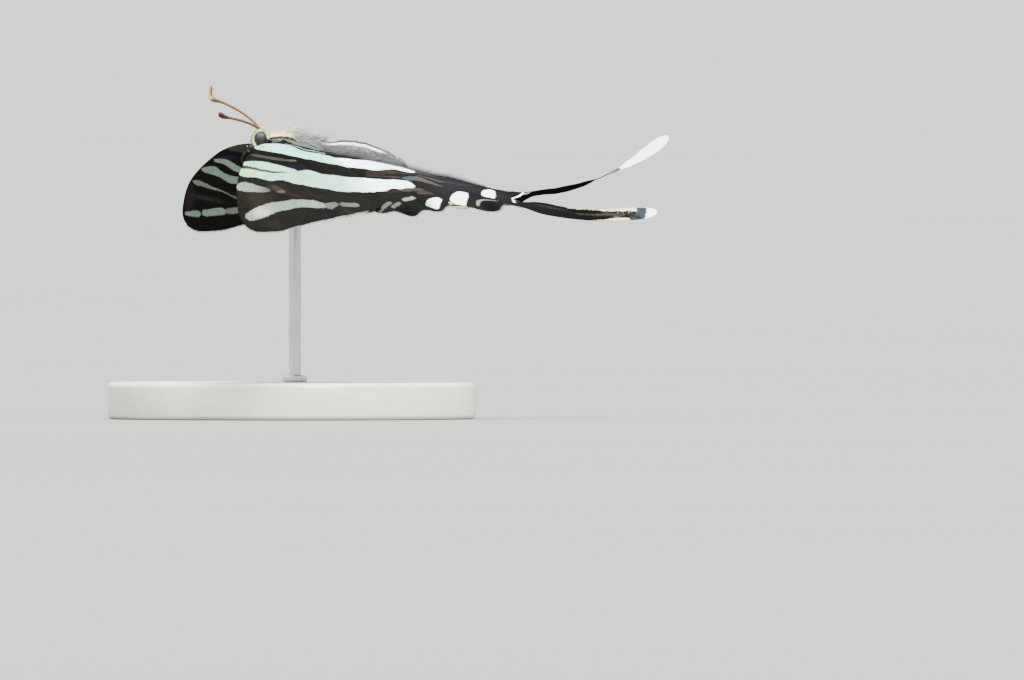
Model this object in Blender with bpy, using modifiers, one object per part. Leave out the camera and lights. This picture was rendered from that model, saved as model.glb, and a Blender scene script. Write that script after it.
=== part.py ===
"""A zebra swallowtail in flight, life size, on a plain display stand.

Metres, +Z up. The head points to -X, the left side faces -Y, and the origin is
the centre of the stand's underside, straight below the wing hinges.
"""
import math

import bmesh
import bpy
from mathutils import Matrix, Vector
from mathutils.geometry import delaunay_2d_cdt

for old in list(bpy.data.objects):
    bpy.data.objects.remove(old, do_unlink=True)

MM = 0.001
GAP = 0.3 * MM  # between touching pieces

# Pose
HINGE_HEIGHT = 45 * MM  # wing hinges above the floor
FALL = 0.2  # the body's line falls by this for each unit towards the tail
SIDES = {"left": -1, "right": 1}

# Wing sheets: each side is one sheet that droops more and more towards the tip
ROOT_Y = 2.0 * MM  # from the middle plane to a wing's root edge
ROOT_DROOP = math.radians(8)
TIP_DROOP = math.radians(45)  # added by the time the sheet has run DROOP_RUN
DROOP_RUN = 42 * MM
LAYER = 0.52 * MM  # a forewing lies this far above the sheet, a hindwing below it
HALF_THICK = 0.25 * MM
RIDGE = 0.12 * MM  # a vein stands this far out of both faces
RIDGE_FOOT = 0.45 * MM  # half the width of a vein's ridge
VEIN_STEP = 1.7 * MM
EDGE_STEP = 1.35 * MM
FILL_STEP = 2.3 * MM

# Tails
TAIL_S = 14.6 * MM  # a tail's midline, outward from the hinge
TAIL_ROOT_X = 35.6 * MM
TAIL_HALF = 1.2 * MM
TAIL_TIP_X = {"left": 57.9 * MM, "right": 64.3 * MM}

# Body, along its own line from the hinges, with the tail end positive
HEAD_X = -5.3 * MM
HEAD_DROP = 0.5 * MM
HEAD_RADII = (1.45 * MM, 1.5 * MM, 1.7 * MM)
HEAD_FLAT = 0.7 * MM  # the eyes sit against flats this far from the middle plane
EYE_RADII = (1.15 * MM, 0.95 * MM, 1.25 * MM)
PALP_RADII = (0.5 * MM, 0.36 * MM, 0.75 * MM)
PALP_OUT = (-1.3 * MM, 0.82 * MM, -1.85 * MM)  # from the head's centre
PALP_TILT = math.radians(-24)
COIL_TURNS = 1.6  # of the proboscis
COIL_STEPS = 36
COIL_OUTER = 1.45 * MM
COIL_INNER = 0.4 * MM
COIL_DROP = 3.6 * MM  # its centre, below the head's
COIL_FORWARD = 0.9 * MM
THORAX_FRONT = -3.65 * MM
THORAX_REAR = 4.55 * MM
HINGE_WALL = ROOT_Y - GAP  # the thorax's flat wall behind the wing roots
HINGE_FLOOR = -1.2 * MM
ABDOMEN_FRONT = THORAX_REAR + GAP
ABDOMEN_TIP = 19.0 * MM
# How far the abdomen's middle line rises: (share of its length, mm)
ABDOMEN_HUMP = [(0, 0.1), (0.32, 0.45), (0.5, 0.6), (0.7, 0.32), (0.88, 0.1), (1, 0.05)]
SEGMENTS = 7

# Stand
BASE_RADIUS = 30 * MM
BASE_THICK = 6 * MM
ROD_X = 0.5 * MM
ROD_RADIUS = 1.0 * MM
ROD_SINK = 0.8 * MM  # the thorax's socket for the rod is this deep

# Flat outlines, in mm: (outward from the hinge, towards the tail), root front to root rear
FOREWING_EDGE = [
    (0.0, -1.7), (6.6, -3.4), (12.2, -6.9), (17.5, -9.0), (23.0, -10.5), (31.6, -12.85), (37.1, -13.5),
    (41.2, -13.2), (43.0, -11.0), (41.9, -6.8), (40.0, -3.6), (38.0, 0.0), (36.1, 3.2), (34.3, 6.2),
    (32.5, 9.0), (30.6, 10.8), (27.4, 10.5), (18.0, 7.6), (9.0, 4.2), (0.0, 0.9),
]
HINDWING_COSTA = [(0.0, 0.7), (3.2, -0.7), (10.0, 0.8), (18.0, 3.4), (25.5, 6.0), (30.9, 9.3)]
# The scalloped outer edge: the ends of the lobes, and how deep the bay after each is
HINDWING_LOBES = [(31.6, 10.9), (29.5, 16.3), (27.1, 20.7), (22.9, 28.9)]
OUTER_BAYS = [0.6, 0.9, 2.6]
TAIL_SHOULDER = [(21.4, 31.0), (18.4, 32.0), (16.4, 33.0)]
TAIL_FLARE = [(2.0, -0.6), (1.75, 2.4), (1.4, 6.4), (1.2, 10.0)]  # a tail's half width, from its root
ANAL_EDGE = [(12.2, 34.7), (10.2, 35.1), (8.3, 36.8), (6.4, 36.2)]
HINDWING_INNER = [
    (4.6, 35.4), (3.9, 34.4), (3.9, 32.4), (3.2, 30.2), (1.9, 27.6), (1.6, 25.0), (2.2, 21.5), (0.6, 17.0),
    (0.4, 10.0), (0.0, 4.3),
]

FOREWING_VEINS = [
    [(1.0, -1.2), (9.0, -4.0), (14.0, -6.6), (21.5, -8.6)],
    [(13.0, -6.3), (19.0, -8.4), (25.2, -10.7)],
    [(17.2, -7.6), (24.0, -9.9), (30.8, -12.1)],
    [(21.5, -8.6), (29.0, -11.0), (36.4, -12.9)],
    [(21.5, -8.6), (31.0, -10.4), (42.4, -11.4)],
    [(22.2, -7.2), (32.0, -7.9), (41.6, -7.2)],
    [(22.3, -5.2), (31.0, -4.9), (39.0, -2.9)],
    [(21.4, -3.2), (29.0, -1.8), (36.9, 1.4)],
    [(18.6, -1.9), (26.0, 0.9), (34.8, 4.9)],
    [(13.6, -0.7), (22.0, 3.6), (32.2, 8.9)],
    [(1.0, 0.2), (12.0, 3.4), (26.4, 9.4)],
    [(1.0, -0.9), (7.0, -1.0), (13.6, -0.7), (18.6, -1.9), (21.4, -3.2), (22.3, -5.2), (22.2, -7.2),
     (21.5, -8.6)],
]
HINDWING_VEINS = [
    [(1.0, 1.2), (8.0, 2.2), (18.0, 5.2), (29.8, 11.0)],
    [(11.6, 10.6), (19.0, 13.0), (28.4, 16.4)],
    [(12.8, 12.6), (19.0, 16.4), (26.4, 21.9)],
    [(12.8, 14.6), (18.0, 21.0), (22.4, 28.4)],
    [(11.8, 16.4), (14.6, 25.0), (14.6, TAIL_ROOT_X / MM), (14.6, 54.0)],
    [(10.0, 15.4), (11.0, 25.0), (10.4, 33.6)],
    [(7.6, 12.2), (8.0, 22.0), (7.2, 33.2)],
    [(1.0, 3.6), (4.2, 9.6), (5.6, 19.0), (5.0, 32.4)],
    [(1.0, 2.0), (7.0, 5.4), (11.6, 10.6), (12.8, 12.6), (12.8, 14.6), (11.8, 16.4), (10.0, 15.4),
     (7.6, 12.2), (1.0, 2.9)],
]

# How each tail leaves the sheet: (towards the tail in mm, height above the sheet in mm)
TAIL_LIFT = {
    "left": [(28, 0), (42, 0), (45, 0.18), (48, 0.58), (51, 1.25), (54, 2.0), (58.2, 3.2)],
    "right": [
        (30, 0), (34, 0.1), (37, 0.55), (40, 1.95), (42, 3.0), (44, 3.7), (46, 4.3), (50, 6.1), (54, 8.5),
        (58, 11.3), (64.3, 16.5),
    ],
}
# How each tail rolls: (towards the tail in mm, degrees that its outer edge is turned down)
TAIL_ROLL = {
    "left": [(34, 14), (41, 40), (48, 52), (53, 50), (56, 40), (58.2, 46)],
    "right": [
        (36.6, 14), (39.4, 34), (42, 19), (47, 26), (50, 21), (53.5, 0), (56.2, -10), (58, -26), (60.5, -46),
        (64.3, -54),
    ],
}
# Where a hindwing's edge hangs down in a lobe, or is raised: (towards the tail, reach, depth), mm
HANGING_LOBES = {"left": [(16.0, 3.0, 0.5)], "right": [(28.4, 5.0, -0.7)]}
CURL_WIDTH = 4.5 * MM
# The hindwings' inner edges flare up beside the abdomen: (towards the tail in mm, height in mm)
INNER_FLARE = [(6, 0), (13, 0.35), (18, 0.5), (24, 0)]
FLARE_WIDTH = 3 * MM

COLOURS = {
    "wing": (0.07, 0.065, 0.06),
    "body": (0.33, 0.32, 0.30),
    "eye": (0.05, 0.06, 0.09),
    "antenna": (0.48, 0.20, 0.05),
    "leg": (0.25, 0.22, 0.18),
    "proboscis": (0.10, 0.06, 0.04),
    "base": (0.55, 0.54, 0.51),
    "rod": (0.6, 0.6, 0.6),
}


def material(kind):
    """The Principled material of one kind of piece."""
    if kind in bpy.data.materials:
        return bpy.data.materials[kind]
    made = bpy.data.materials.new(kind)
    made.use_nodes = True
    shader = made.node_tree.nodes["Principled BSDF"]
    shader.inputs["Base Color"].default_value = (*COLOURS[kind], 1)
    shader.inputs["Roughness"].default_value = 0.3 if kind in ("eye", "rod") else 0.7
    shader.inputs["Metallic"].default_value = 1.0 if kind == "rod" else 0.0
    return made


def add_object(name, mesh, kind):
    """A node: an object of its own in the butterfly's collection."""
    made = bpy.data.objects.new(name, mesh)
    mesh.materials.clear()
    mesh.materials.append(material(kind))
    MODEL.objects.link(made)
    return made


def add_bmesh(name, bm, kind):
    """A node from a bmesh, with its faces turned outward."""
    bmesh.ops.recalc_face_normals(bm, faces=bm.faces)
    mesh = bpy.data.meshes.new(name)
    bm.to_mesh(mesh)
    bm.free()
    return add_object(name, mesh, kind)


def smooth_curve(points, step):
    """Points about a step apart along a Catmull-Rom curve through the given ones."""
    last = len(points) - 1
    found = []
    for i in range(last):
        a, b, c, d = (Vector(points[min(max(i + k, 0), last)]) for k in (-1, 0, 1, 2))
        pieces = max(1, round((c - b).length / step))
        for j in range(pieces):
            t = j / pieces
            bend = (2 * a - 5 * b + 4 * c - d) * t**2 + (3 * b - a - 3 * c + d) * t**3
            found.append(b + 0.5 * ((c - a) * t + bend))
    found.append(Vector(points[last]))
    return found


def in_metres(points):
    return [Vector(p) * MM for p in points]


def read_keys(keys, x):
    """The smooth value at x of a list of (place, value) pairs, held at both ends."""
    if x <= keys[0][0]:
        return keys[0][1]
    for (x0, v0), (x1, v1) in zip(keys, keys[1:]):
        if x <= x1:
            t = (x - x0) / (x1 - x0)
            return v0 + (v1 - v0) * t * t * (3 - 2 * t)
    return keys[-1][1]


def read_curve(keys, x):
    """The value at x on an evenly bending curve through (place, value) pairs, held at both ends."""
    if x <= keys[0][0]:
        return keys[0][1]
    for i, ((x0, v0), (x1, v1)) in enumerate(zip(keys, keys[1:])):
        if x <= x1:
            run, rise = x1 - x0, v1 - v0
            start = end = rise
            if i > 0:
                start = run * (v1 - keys[i - 1][1]) / (x1 - keys[i - 1][0])
            if i + 2 < len(keys):
                end = run * (keys[i + 2][1] - v0) / (keys[i + 2][0] - x0)
            t = (x - x0) / run
            return v0 + start * t + (3 * rise - 2 * start - end) * t**2 + (start + end - 2 * rise) * t**3
    return keys[-1][1]


def blend(x, start, end):
    t = min(max((x - start) / (end - start), 0), 1)
    return t * t * (3 - 2 * t)


# The wing sheets
def droop(s):
    return ROOT_DROOP + TIP_DROOP * (s / DROOP_RUN) ** 2


def droop_profile(s):
    """How far out and how far down the sheet is at s along it, by Simpson's rule."""
    pieces = 16
    out = down = 0.0
    for i in range(pieces + 1):
        weight = 1 if i in (0, pieces) else (4 if i % 2 else 2)
        angle = droop(s * i / pieces)
        out += weight * math.cos(angle)
        down += weight * math.sin(angle)
    return ROOT_Y + out * s / (3 * pieces), down * s / (3 * pieces)


def edge_curl(side, s, x):
    """How far the hindwing's outer edge hangs below the sheet."""
    total = 0.0
    for centre, reach, depth in HANGING_LOBES[side]:
        near = 1 - min(abs(x / MM - centre) / reach, 1) ** 2
        edge = read_keys([(p[1], p[0]) for p in HINDWING_LOBES], x / MM) * MM
        inward = min(max((s - edge + CURL_WIDTH) / CURL_WIDTH, 0), 1.2)
        total += depth * MM * near * inward**2
    return total


def inner_flare(s, x):
    """How far the hindwing's inner edge rises above the sheet."""
    return read_keys(INNER_FLARE, x / MM) * MM * max(1 - s / FLARE_WIDTH, 0) ** 2


def wing_point(side, s, x, offset, hind):
    """A point of a wing: s outward, x towards the tail, offset along the sheet's upward normal."""
    sign = SIDES[side]
    out, down = droop_profile(s)
    angle = droop(s)
    up = Vector((FALL * math.cos(angle), sign * math.sin(angle), math.cos(angle))).normalized()
    place = Vector((x, sign * out, HINGE_HEIGHT - FALL * x - down))
    if not hind:
        return place + up * offset
    place.z += inner_flare(s, x) - edge_curl(side, s, x)
    lift = Vector((0, 0, read_curve(TAIL_LIFT[side], x / MM) * MM))
    rolled = blend(x, TAIL_ROOT_X - 1.5 * MM, TAIL_ROOT_X + 3 * MM)
    if rolled > 0:
        roll = math.radians(read_keys(TAIL_ROLL[side], x / MM))
        mid_out, mid_down = droop_profile(TAIL_S)
        middle = Vector((x, sign * mid_out, HINGE_HEIGHT - FALL * x - mid_down))
        across = Vector((0, sign * math.cos(roll), -math.sin(roll)))
        tail_up = Vector((FALL * math.cos(roll), sign * math.sin(roll), math.cos(roll))).normalized()
        place = place.lerp(middle + across * (s - TAIL_S), rolled)
        up = up.lerp(tail_up, rolled).normalized()
    return place + lift + up * offset


def inside(point, loop):
    """Whether a flat point is inside a closed loop of flat points."""
    found = False
    for a, b in zip(loop, loop[1:] + loop[:1]):
        if (a.y > point.y) != (b.y > point.y):
            if point.x < a.x + (b.x - a.x) * (point.y - a.y) / (b.y - a.y):
                found = not found
    return found


def clear_of(point, others, distance):
    return all((point - other).length > distance for other in others)


def vein_points(veins, loop):
    """Crest points with their heights, the edges that join them, and the points at the ridges' feet."""
    crest, heights, edges, feet = [], [], [], []
    for vein in veins:
        path = smooth_curve(in_metres(vein), VEIN_STEP)
        previous = None
        for i, point in enumerate(path):
            if previous is not None and not clear_of(point, loop, 0.6 * MM):
                continue
            near = [k for k, other in enumerate(crest) if (other - point).length < 0.5 * MM]
            if near:
                index = near[0]
            else:
                index = len(crest)
                crest.append(point)
                heights.append(0.0 if i == len(path) - 1 else 1.0)
            if previous not in (None, index):
                edges.append((previous, index))
            previous = index
    for a, b in edges:
        along = (crest[b] - crest[a]).normalized()
        across = Vector((-along.y, along.x)) * RIDGE_FOOT
        feet += [crest[a] + across, crest[a] - across, crest[b] + across, crest[b] - across]
    kept = []
    for point in feet:
        if clear_of(point, crest, 0.8 * RIDGE_FOOT) and clear_of(point, kept, 0.55 * RIDGE_FOOT):
            if inside(point, loop) and clear_of(point, loop, 0.35 * MM):
                kept.append(point)
    return crest, heights, edges, kept


def fill_points(loop, others):
    """An even spread of flat points inside the loop and clear of the others."""
    low_x, high_x = min(p.x for p in loop), max(p.x for p in loop)
    low_y, high_y = min(p.y for p in loop), max(p.y for p in loop)
    found = []
    row = 0
    y = low_y
    while y < high_y:
        x = low_x + (row % 2) * FILL_STEP / 2
        while x < high_x:
            point = Vector((x, y))
            if inside(point, loop) and clear_of(point, others, 0.55 * FILL_STEP):
                found.append(point)
            x += FILL_STEP
        y += FILL_STEP * 0.87
        row += 1
    return found


def make_wing(name, side, loop, veins, hind):
    """A membrane with its veins raised on both faces, triangulated alike on both."""
    crest, heights, crest_edges, feet = vein_points(veins, loop)
    flat = loop + crest + feet
    flat += fill_points(loop, flat)
    first = len(loop)
    edges = [(i, (i + 1) % first) for i in range(first)]
    edges += [(a + first, b + first) for a, b in crest_edges]
    points, _, faces, origins, _, _ = delaunay_2d_cdt(flat, edges, [list(range(first))], 1, 1e-7)
    layer = -LAYER if hind else LAYER
    bm = bmesh.new()
    top, bottom = [], []
    for point, found in zip(points, origins):
        crests = [heights[k - first] for k in found if first <= k < first + len(crest)]
        half = HALF_THICK + RIDGE * max(crests, default=0.0)
        top.append(bm.verts.new(wing_point(side, point.x, point.y, layer + half, hind)))
        bottom.append(bm.verts.new(wing_point(side, point.x, point.y, layer - half, hind)))
    seen = set()
    for face in faces:
        bm.faces.new([top[i] for i in face])
        bm.faces.new([bottom[i] for i in reversed(face)])
        seen.update(zip(face, face[1:] + face[:1]))
    for a, b in seen:
        if (b, a) not in seen:
            bm.faces.new([top[b], top[a], bottom[a]])
            bm.faces.new([top[b], bottom[a], bottom[b]])
    return add_bmesh(name, bm, "wing")


def with_bays(lobes, depths):
    """Lobe ends in mm with a bay between each pair, set in from the line that joins them."""
    found = [lobes[0]]
    for a, b, depth in zip(lobes, lobes[1:], depths):
        along = (Vector(b) - Vector(a)).normalized()
        inward = Vector((-along.y, along.x)) * depth
        found += [tuple((Vector(a) + Vector(b)) / 2 + inward), b]
    return found


def hindwing_edge(side):
    """The hindwing's outline with its tail, in metres."""
    tip = TAIL_TIP_X[side] / MM
    mid, half, root = TAIL_S / MM, TAIL_HALF / MM, TAIL_ROOT_X / MM
    outer_side = [(mid + out, root + x) for out, x in TAIL_FLARE]
    outer_side += [(mid + half, tip - 7), (mid + 1.15 * half, tip - 2.2), (mid + 0.7, tip - 0.4)]
    inner_side = [(2 * mid - s, x) for s, x in reversed(outer_side)]
    outline = HINDWING_COSTA + with_bays(HINDWING_LOBES, OUTER_BAYS) + TAIL_SHOULDER
    outline += outer_side + [(mid, tip)] + inner_side
    outline += ANAL_EDGE + HINDWING_INNER
    return smooth_curve(in_metres(outline), EDGE_STEP)


def add_wings(side):
    forewing_edge = smooth_curve(in_metres(FOREWING_EDGE), EDGE_STEP)
    make_wing("forewing_" + side, side, forewing_edge, FOREWING_VEINS, False)
    make_wing("hindwing_" + side, side, hindwing_edge(side), HINDWING_VEINS, True)


# The body
def body_matrix():
    """From the body's own line, level and centred on the hinges, to the world."""
    return Matrix.Translation((0, 0, HINGE_HEIGHT)) @ Matrix.Rotation(math.atan(FALL), 4, "Y")


def loft(stations, sides):
    """A closed bmesh through rings (x, centre height, half width, reach up, reach down)."""
    bm = bmesh.new()
    rings = []
    for x, centre, half, up, down in stations:
        ring = []
        for k in range(sides):
            angle = 2 * math.pi * k / sides
            height = (up if math.sin(angle) > 0 else down) * math.sin(angle)
            ring.append(bm.verts.new((x, half * math.cos(angle), centre + height)))
        rings.append(ring)
    for a, b in zip(rings, rings[1:]):
        for k in range(sides):
            bm.faces.new([a[k], a[(k + 1) % sides], b[(k + 1) % sides], b[k]])
    bm.faces.new(rings[0])
    bm.faces.new(rings[-1])
    return bm


def smooth_stations(stations, step):
    """More rings, on a smooth curve through the given ones, all in mm."""
    return [tuple(v * MM for v in ring) for ring in smooth_curve(stations, step)]


def thorax_mesh():
    front, rear = THORAX_FRONT / MM, THORAX_REAR / MM
    stations = [
        (front, -0.2, 1.15, 1.2, 1.3),
        (-2.6, -0.1, 2.0, 1.7, 2.2),
        (-0.8, 0.0, 2.6, 1.95, 3.1),
        (1.2, 0.0, 2.7, 1.95, 3.2),
        (3.2, 0.1, 2.3, 1.7, 2.6),
        (rear, 0.2, 1.6, 1.35, 1.7),
    ]
    return loft(smooth_stations(stations, 0.8), 24)


def abdomen_mesh():
    """Rings that pinch between segments and taper to a blunt tip."""
    rings_each = 4
    total = SEGMENTS * rings_each
    length = ABDOMEN_TIP - ABDOMEN_FRONT
    stations = []
    for i in range(total + 1):
        t = i / total
        swell = read_keys([(0, 1.25), (0.35, 2.0), (0.7, 1.75), (0.92, 1.1), (1, 0.5)], t) * MM
        pinch = 1 - 0.07 * (1 if i % rings_each == 0 and 0 < i < total else 0)
        hump = read_keys(ABDOMEN_HUMP, t) * MM
        half = swell * pinch
        stations.append((ABDOMEN_FRONT + length * t, hump, half, half * 0.98, half * 0.94))
    return loft(stations, 18)


def ball(radii, centre, rings=12, segments=18):
    bm = bmesh.new()
    bmesh.ops.create_uvsphere(bm, u_segments=segments, v_segments=rings, radius=1)
    bmesh.ops.scale(bm, vec=radii, verts=bm.verts)
    bmesh.ops.translate(bm, vec=centre, verts=bm.verts)
    return bm


def slice_flat(bm, point, normal):
    """Cuts off what lies beyond a plane and closes the cut with one flat face."""
    everything = bm.verts[:] + bm.edges[:] + bm.faces[:]
    cut = bmesh.ops.bisect_plane(bm, geom=everything, plane_co=point, plane_no=normal, clear_outer=True)
    bmesh.ops.contextual_create(bm, geom=[g for g in cut["geom_cut"] if isinstance(g, bmesh.types.BMEdge)])


def add_body_piece(name, bm, kind):
    bm.transform(body_matrix())
    return add_bmesh(name, bm, kind)


def cut_away(target, cutter_bm):
    """Takes a cutter's shape out of a node with one Boolean, and leaves no cutter behind."""
    bmesh.ops.recalc_face_normals(cutter_bm, faces=cutter_bm.faces)
    mesh = bpy.data.meshes.new("cutter")
    cutter_bm.to_mesh(mesh)
    cutter_bm.free()
    cutter = bpy.data.objects.new("cutter", mesh)
    MODEL.objects.link(cutter)
    modifier = target.modifiers.new("cut", "BOOLEAN")
    modifier.object = cutter
    modifier.operation = "DIFFERENCE"
    modifier.solver = "EXACT"
    view = bpy.context.evaluated_depsgraph_get()
    result = bpy.data.meshes.new_from_object(target.evaluated_get(view))
    target.modifiers.clear()
    target.data = result
    bpy.data.objects.remove(cutter, do_unlink=True)


def box(low, high):
    bm = bmesh.new()
    bmesh.ops.create_cube(bm, size=1)
    low, high = Vector(low), Vector(high)
    bmesh.ops.scale(bm, vec=high - low, verts=bm.verts)
    bmesh.ops.translate(bm, vec=(low + high) / 2, verts=bm.verts)
    return bm


def add_thorax():
    """The thorax: its back narrows to flat walls at the wing roots, and a socket takes the rod."""
    thorax = add_body_piece("thorax", thorax_mesh(), "body")
    for sign in SIDES.values():
        near, far = sorted((sign * HINGE_WALL, sign * 5 * MM))
        shoulder = box((-3.05 * MM, near, HINGE_FLOOR), (5 * MM, far, 4 * MM))
        shoulder.transform(body_matrix())
        cut_away(thorax, shoulder)
    cut_away(thorax, rod_mesh(GAP, rod_top() + GAP))


def rod_top():
    """The rod ends a little inside the thorax's underside."""
    return HINGE_HEIGHT - 3.15 * MM + ROD_SINK


def rod_mesh(extra, top):
    """An upright cylinder from the base's top face, wider all round by extra."""
    bm = bmesh.new()
    low = BASE_THICK + GAP
    radius = ROD_RADIUS + extra
    bmesh.ops.create_cone(bm, cap_ends=True, segments=24, radius1=radius, radius2=radius, depth=top - low)
    bmesh.ops.translate(bm, vec=(ROD_X, 0, (top + low) / 2), verts=bm.verts)
    return bm


def add_head():
    centre = Vector((HEAD_X, 0, -HEAD_DROP))
    head = ball(HEAD_RADII, centre)
    slice_flat(head, (THORAX_FRONT - GAP, 0, 0), (1, 0, 0))
    for sign in SIDES.values():
        slice_flat(head, (0, sign * HEAD_FLAT, 0), (0, sign, 0))
    add_body_piece("head", head, "body")
    for side, sign in SIDES.items():
        eye = ball(EYE_RADII, centre + Vector((-0.05 * MM, sign * 0.9 * MM, 0.1 * MM)))
        slice_flat(eye, (0, sign * (HEAD_FLAT + GAP), 0), (0, -sign, 0))
        add_body_piece("eye_" + side, eye, "eye")
    for side, sign in SIDES.items():
        palp = ball(PALP_RADII, (0, 0, 0), 8, 12)
        palp.transform(Matrix.Rotation(PALP_TILT, 4, "Y"))
        place = centre + Vector((PALP_OUT[0], sign * PALP_OUT[1], PALP_OUT[2]))
        bmesh.ops.translate(palp, vec=place, verts=palp.verts)
        add_body_piece("palp_" + side, palp, "body")


def add_tube(name, points, radii, kind):
    """A round limb along points in metres, as thick as the radii say at shares of its length."""
    curve = bpy.data.curves.new(name, "CURVE")
    curve.dimensions = "3D"
    curve.bevel_depth = 1.0
    curve.bevel_resolution = 1
    curve.use_fill_caps = True
    spline = curve.splines.new("POLY")
    spline.points.add(len(points) - 1)
    for i, (target, point) in enumerate(zip(spline.points, points)):
        target.co = (*point, 1)
        target.radius = read_keys(radii, i / (len(points) - 1)) * MM
    made = bpy.data.objects.new(name, curve)
    curve.materials.append(material(kind))
    MODEL.objects.link(made)
    weld = made.modifiers.new("weld", "WELD")
    weld.merge_threshold = 0.00001


# Radii in mm at shares of a limb's length
ANTENNA_RADII = [(0, 0.27), (0.8, 0.27), (0.93, 0.52), (1, 0.3)]
LEG_RADII = [(0, 0.42), (0.35, 0.38), (0.7, 0.28), (1, 0.25)]
PROBOSCIS_RADII = [(0, 0.27), (1, 0.22)]
# How far each antenna reaches from its root, and from there to its club's tip, in mm
ANTENNA_REACH = {
    "left": ((-7.3, -10.2, 2.1), (-0.8, -1.1, 0.5)),
    "right": ((-6.95, 9.2, 5.2), (0.05, 0.4, 2.05)),
}

# How far each shaft arches: (share of its reach, mm above the straight line)
ANTENNA_ARCH = {"left": [(0.3, 0.35), (0.65, 0.28)], "right": [(0.14, 0.6), (0.4, 0.85), (0.75, 0.5)]}


def add_antennae():
    """Thin feelers that spread forward, with clubs that bend up."""
    for side, sign in SIDES.items():
        root = body_matrix() @ Vector((HEAD_X - 0.2 * MM, sign * 0.45 * MM, -HEAD_DROP + HEAD_RADII[2] + GAP))
        along, club = (Vector(v) * MM for v in ANTENNA_REACH[side])
        path = [root]
        path += [root + along * share + Vector((0, 0, rise * MM)) for share, rise in ANTENNA_ARCH[side]]
        path += [root + along, root + along + club]
        add_tube("antenna_" + side, smooth_curve(path, 0.9 * MM), ANTENNA_RADII, "antenna")


def add_proboscis():
    """The tongue, coiled under the face."""
    centre = Vector((HEAD_X - COIL_FORWARD, 0, -HEAD_DROP - COIL_DROP))
    points = []
    for i in range(COIL_STEPS + 1):
        t = i / COIL_STEPS
        angle = math.radians(70) + 2 * math.pi * COIL_TURNS * t
        radius = COIL_OUTER + (COIL_INNER - COIL_OUTER) * t
        spoke = Vector((math.cos(angle), 0, math.sin(angle)))
        points.append(body_matrix() @ (centre + spoke * radius))
    add_tube("proboscis", points, PROBOSCIS_RADII, "proboscis")


LEG_ROOTS = {"front": -1.7, "mid": 0.6, "hind": 2.5}  # mm along the body
# Each leg's joints from its root, in mm: towards the tail, outward, up
LEG_SHAPES = {
    "front": [
        (0, 0, 0), (-0.7, 0.3, -0.9), (-2.3, 1.0, -1.1),
        (-1.2, 1.5, -2.5), (1.2, 1.3, -3.1), (3.0, 1.1, -3.3),
    ],
    "mid": [
        (0, 0, 0), (0.2, 0.6, -0.9), (0.0, 2.4, -1.3),
        (1.9, 2.6, -2.0), (4.4, 2.0, -2.3), (6.4, 1.6, -2.5),
    ],
    "hind": [
        (0, 0, 0), (0.7, 0.3, -0.8), (3.0, 0.9, -0.9),
        (5.8, 0.9, -1.5), (8.2, 0.7, -2.2), (10.4, 0.5, -2.7),
    ],
}
LEG_UNDER = {"front": -2.3, "mid": -2.75, "hind": -2.45}  # the thorax's underside above each root, mm
LEG_Y = 1.75  # mm


def add_legs():
    """Six legs folded back under the thorax, as in flight."""
    for pair, shape in LEG_SHAPES.items():
        for side, sign in SIDES.items():
            points = []
            for x, y, z in shape:
                local = Vector((LEG_ROOTS[pair] + x, sign * (LEG_Y + y), LEG_UNDER[pair] + z)) * MM
                points.append(body_matrix() @ local)
            add_tube("leg_" + pair + "_" + side, smooth_curve(points, 0.9 * MM), LEG_RADII, "leg")


def add_stand():
    bm = bmesh.new()
    round_both = {"radius1": BASE_RADIUS, "radius2": BASE_RADIUS}
    bmesh.ops.create_cone(bm, cap_ends=True, segments=64, depth=BASE_THICK, **round_both)
    bmesh.ops.translate(bm, vec=(0, 0, BASE_THICK / 2), verts=bm.verts)
    base = add_bmesh("stand_base", bm, "base")
    bevel = base.modifiers.new("round", "BEVEL")
    bevel.width = 0.8 * MM
    bevel.segments = 3
    add_bmesh("stand_rod", rod_mesh(0, rod_top()), "rod")


MODEL = bpy.data.collections.new("zebra_swallowtail")
bpy.context.scene.collection.children.link(MODEL)
add_stand()
add_thorax()
add_body_piece("abdomen", abdomen_mesh(), "body")
add_head()
add_antennae()
add_proboscis()
add_legs()
for wing_side in SIDES:
    add_wings(wing_side)
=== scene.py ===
import math

import bmesh
import bpy
import numpy as np
from mathutils import Matrix, Vector
from mathutils.geometry import delaunay_2d_cdt


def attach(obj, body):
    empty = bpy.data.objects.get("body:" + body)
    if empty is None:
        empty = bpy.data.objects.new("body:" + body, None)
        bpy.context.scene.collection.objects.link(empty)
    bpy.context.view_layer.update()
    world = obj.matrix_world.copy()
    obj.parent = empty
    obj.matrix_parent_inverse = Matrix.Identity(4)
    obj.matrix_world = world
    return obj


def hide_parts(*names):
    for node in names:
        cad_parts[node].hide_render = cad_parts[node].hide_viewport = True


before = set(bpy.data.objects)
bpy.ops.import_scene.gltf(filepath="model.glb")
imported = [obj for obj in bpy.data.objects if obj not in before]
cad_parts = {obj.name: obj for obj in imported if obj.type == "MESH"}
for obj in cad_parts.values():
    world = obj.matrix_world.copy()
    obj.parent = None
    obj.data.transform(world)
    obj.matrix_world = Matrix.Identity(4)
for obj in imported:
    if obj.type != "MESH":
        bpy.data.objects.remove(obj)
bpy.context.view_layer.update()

# Lengths are in mm until a mesh is made. The head points to -X, the near side is the left one, at -Y.
MM = 0.001
HINGE_HEIGHT = 45.0
FALL = 0.2
SIGN = {"left": -1, "right": 1}
rng = np.random.default_rng(11)


def rgb(red, green, blue):
    """A colour given 0 to 255, as the linear values that a shader takes."""
    srgb = np.array([red, green, blue]) / 255
    return np.where(srgb > 0.04045, ((srgb + 0.055) / 1.055) ** 2.4, srgb / 12.92)


# What falls on the wings, on the body's side and on the far undersides
WING_LIGHT, SIDE_LIGHT, UNDER_LIGHT = 6.5, 4.4, 1.7


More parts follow.
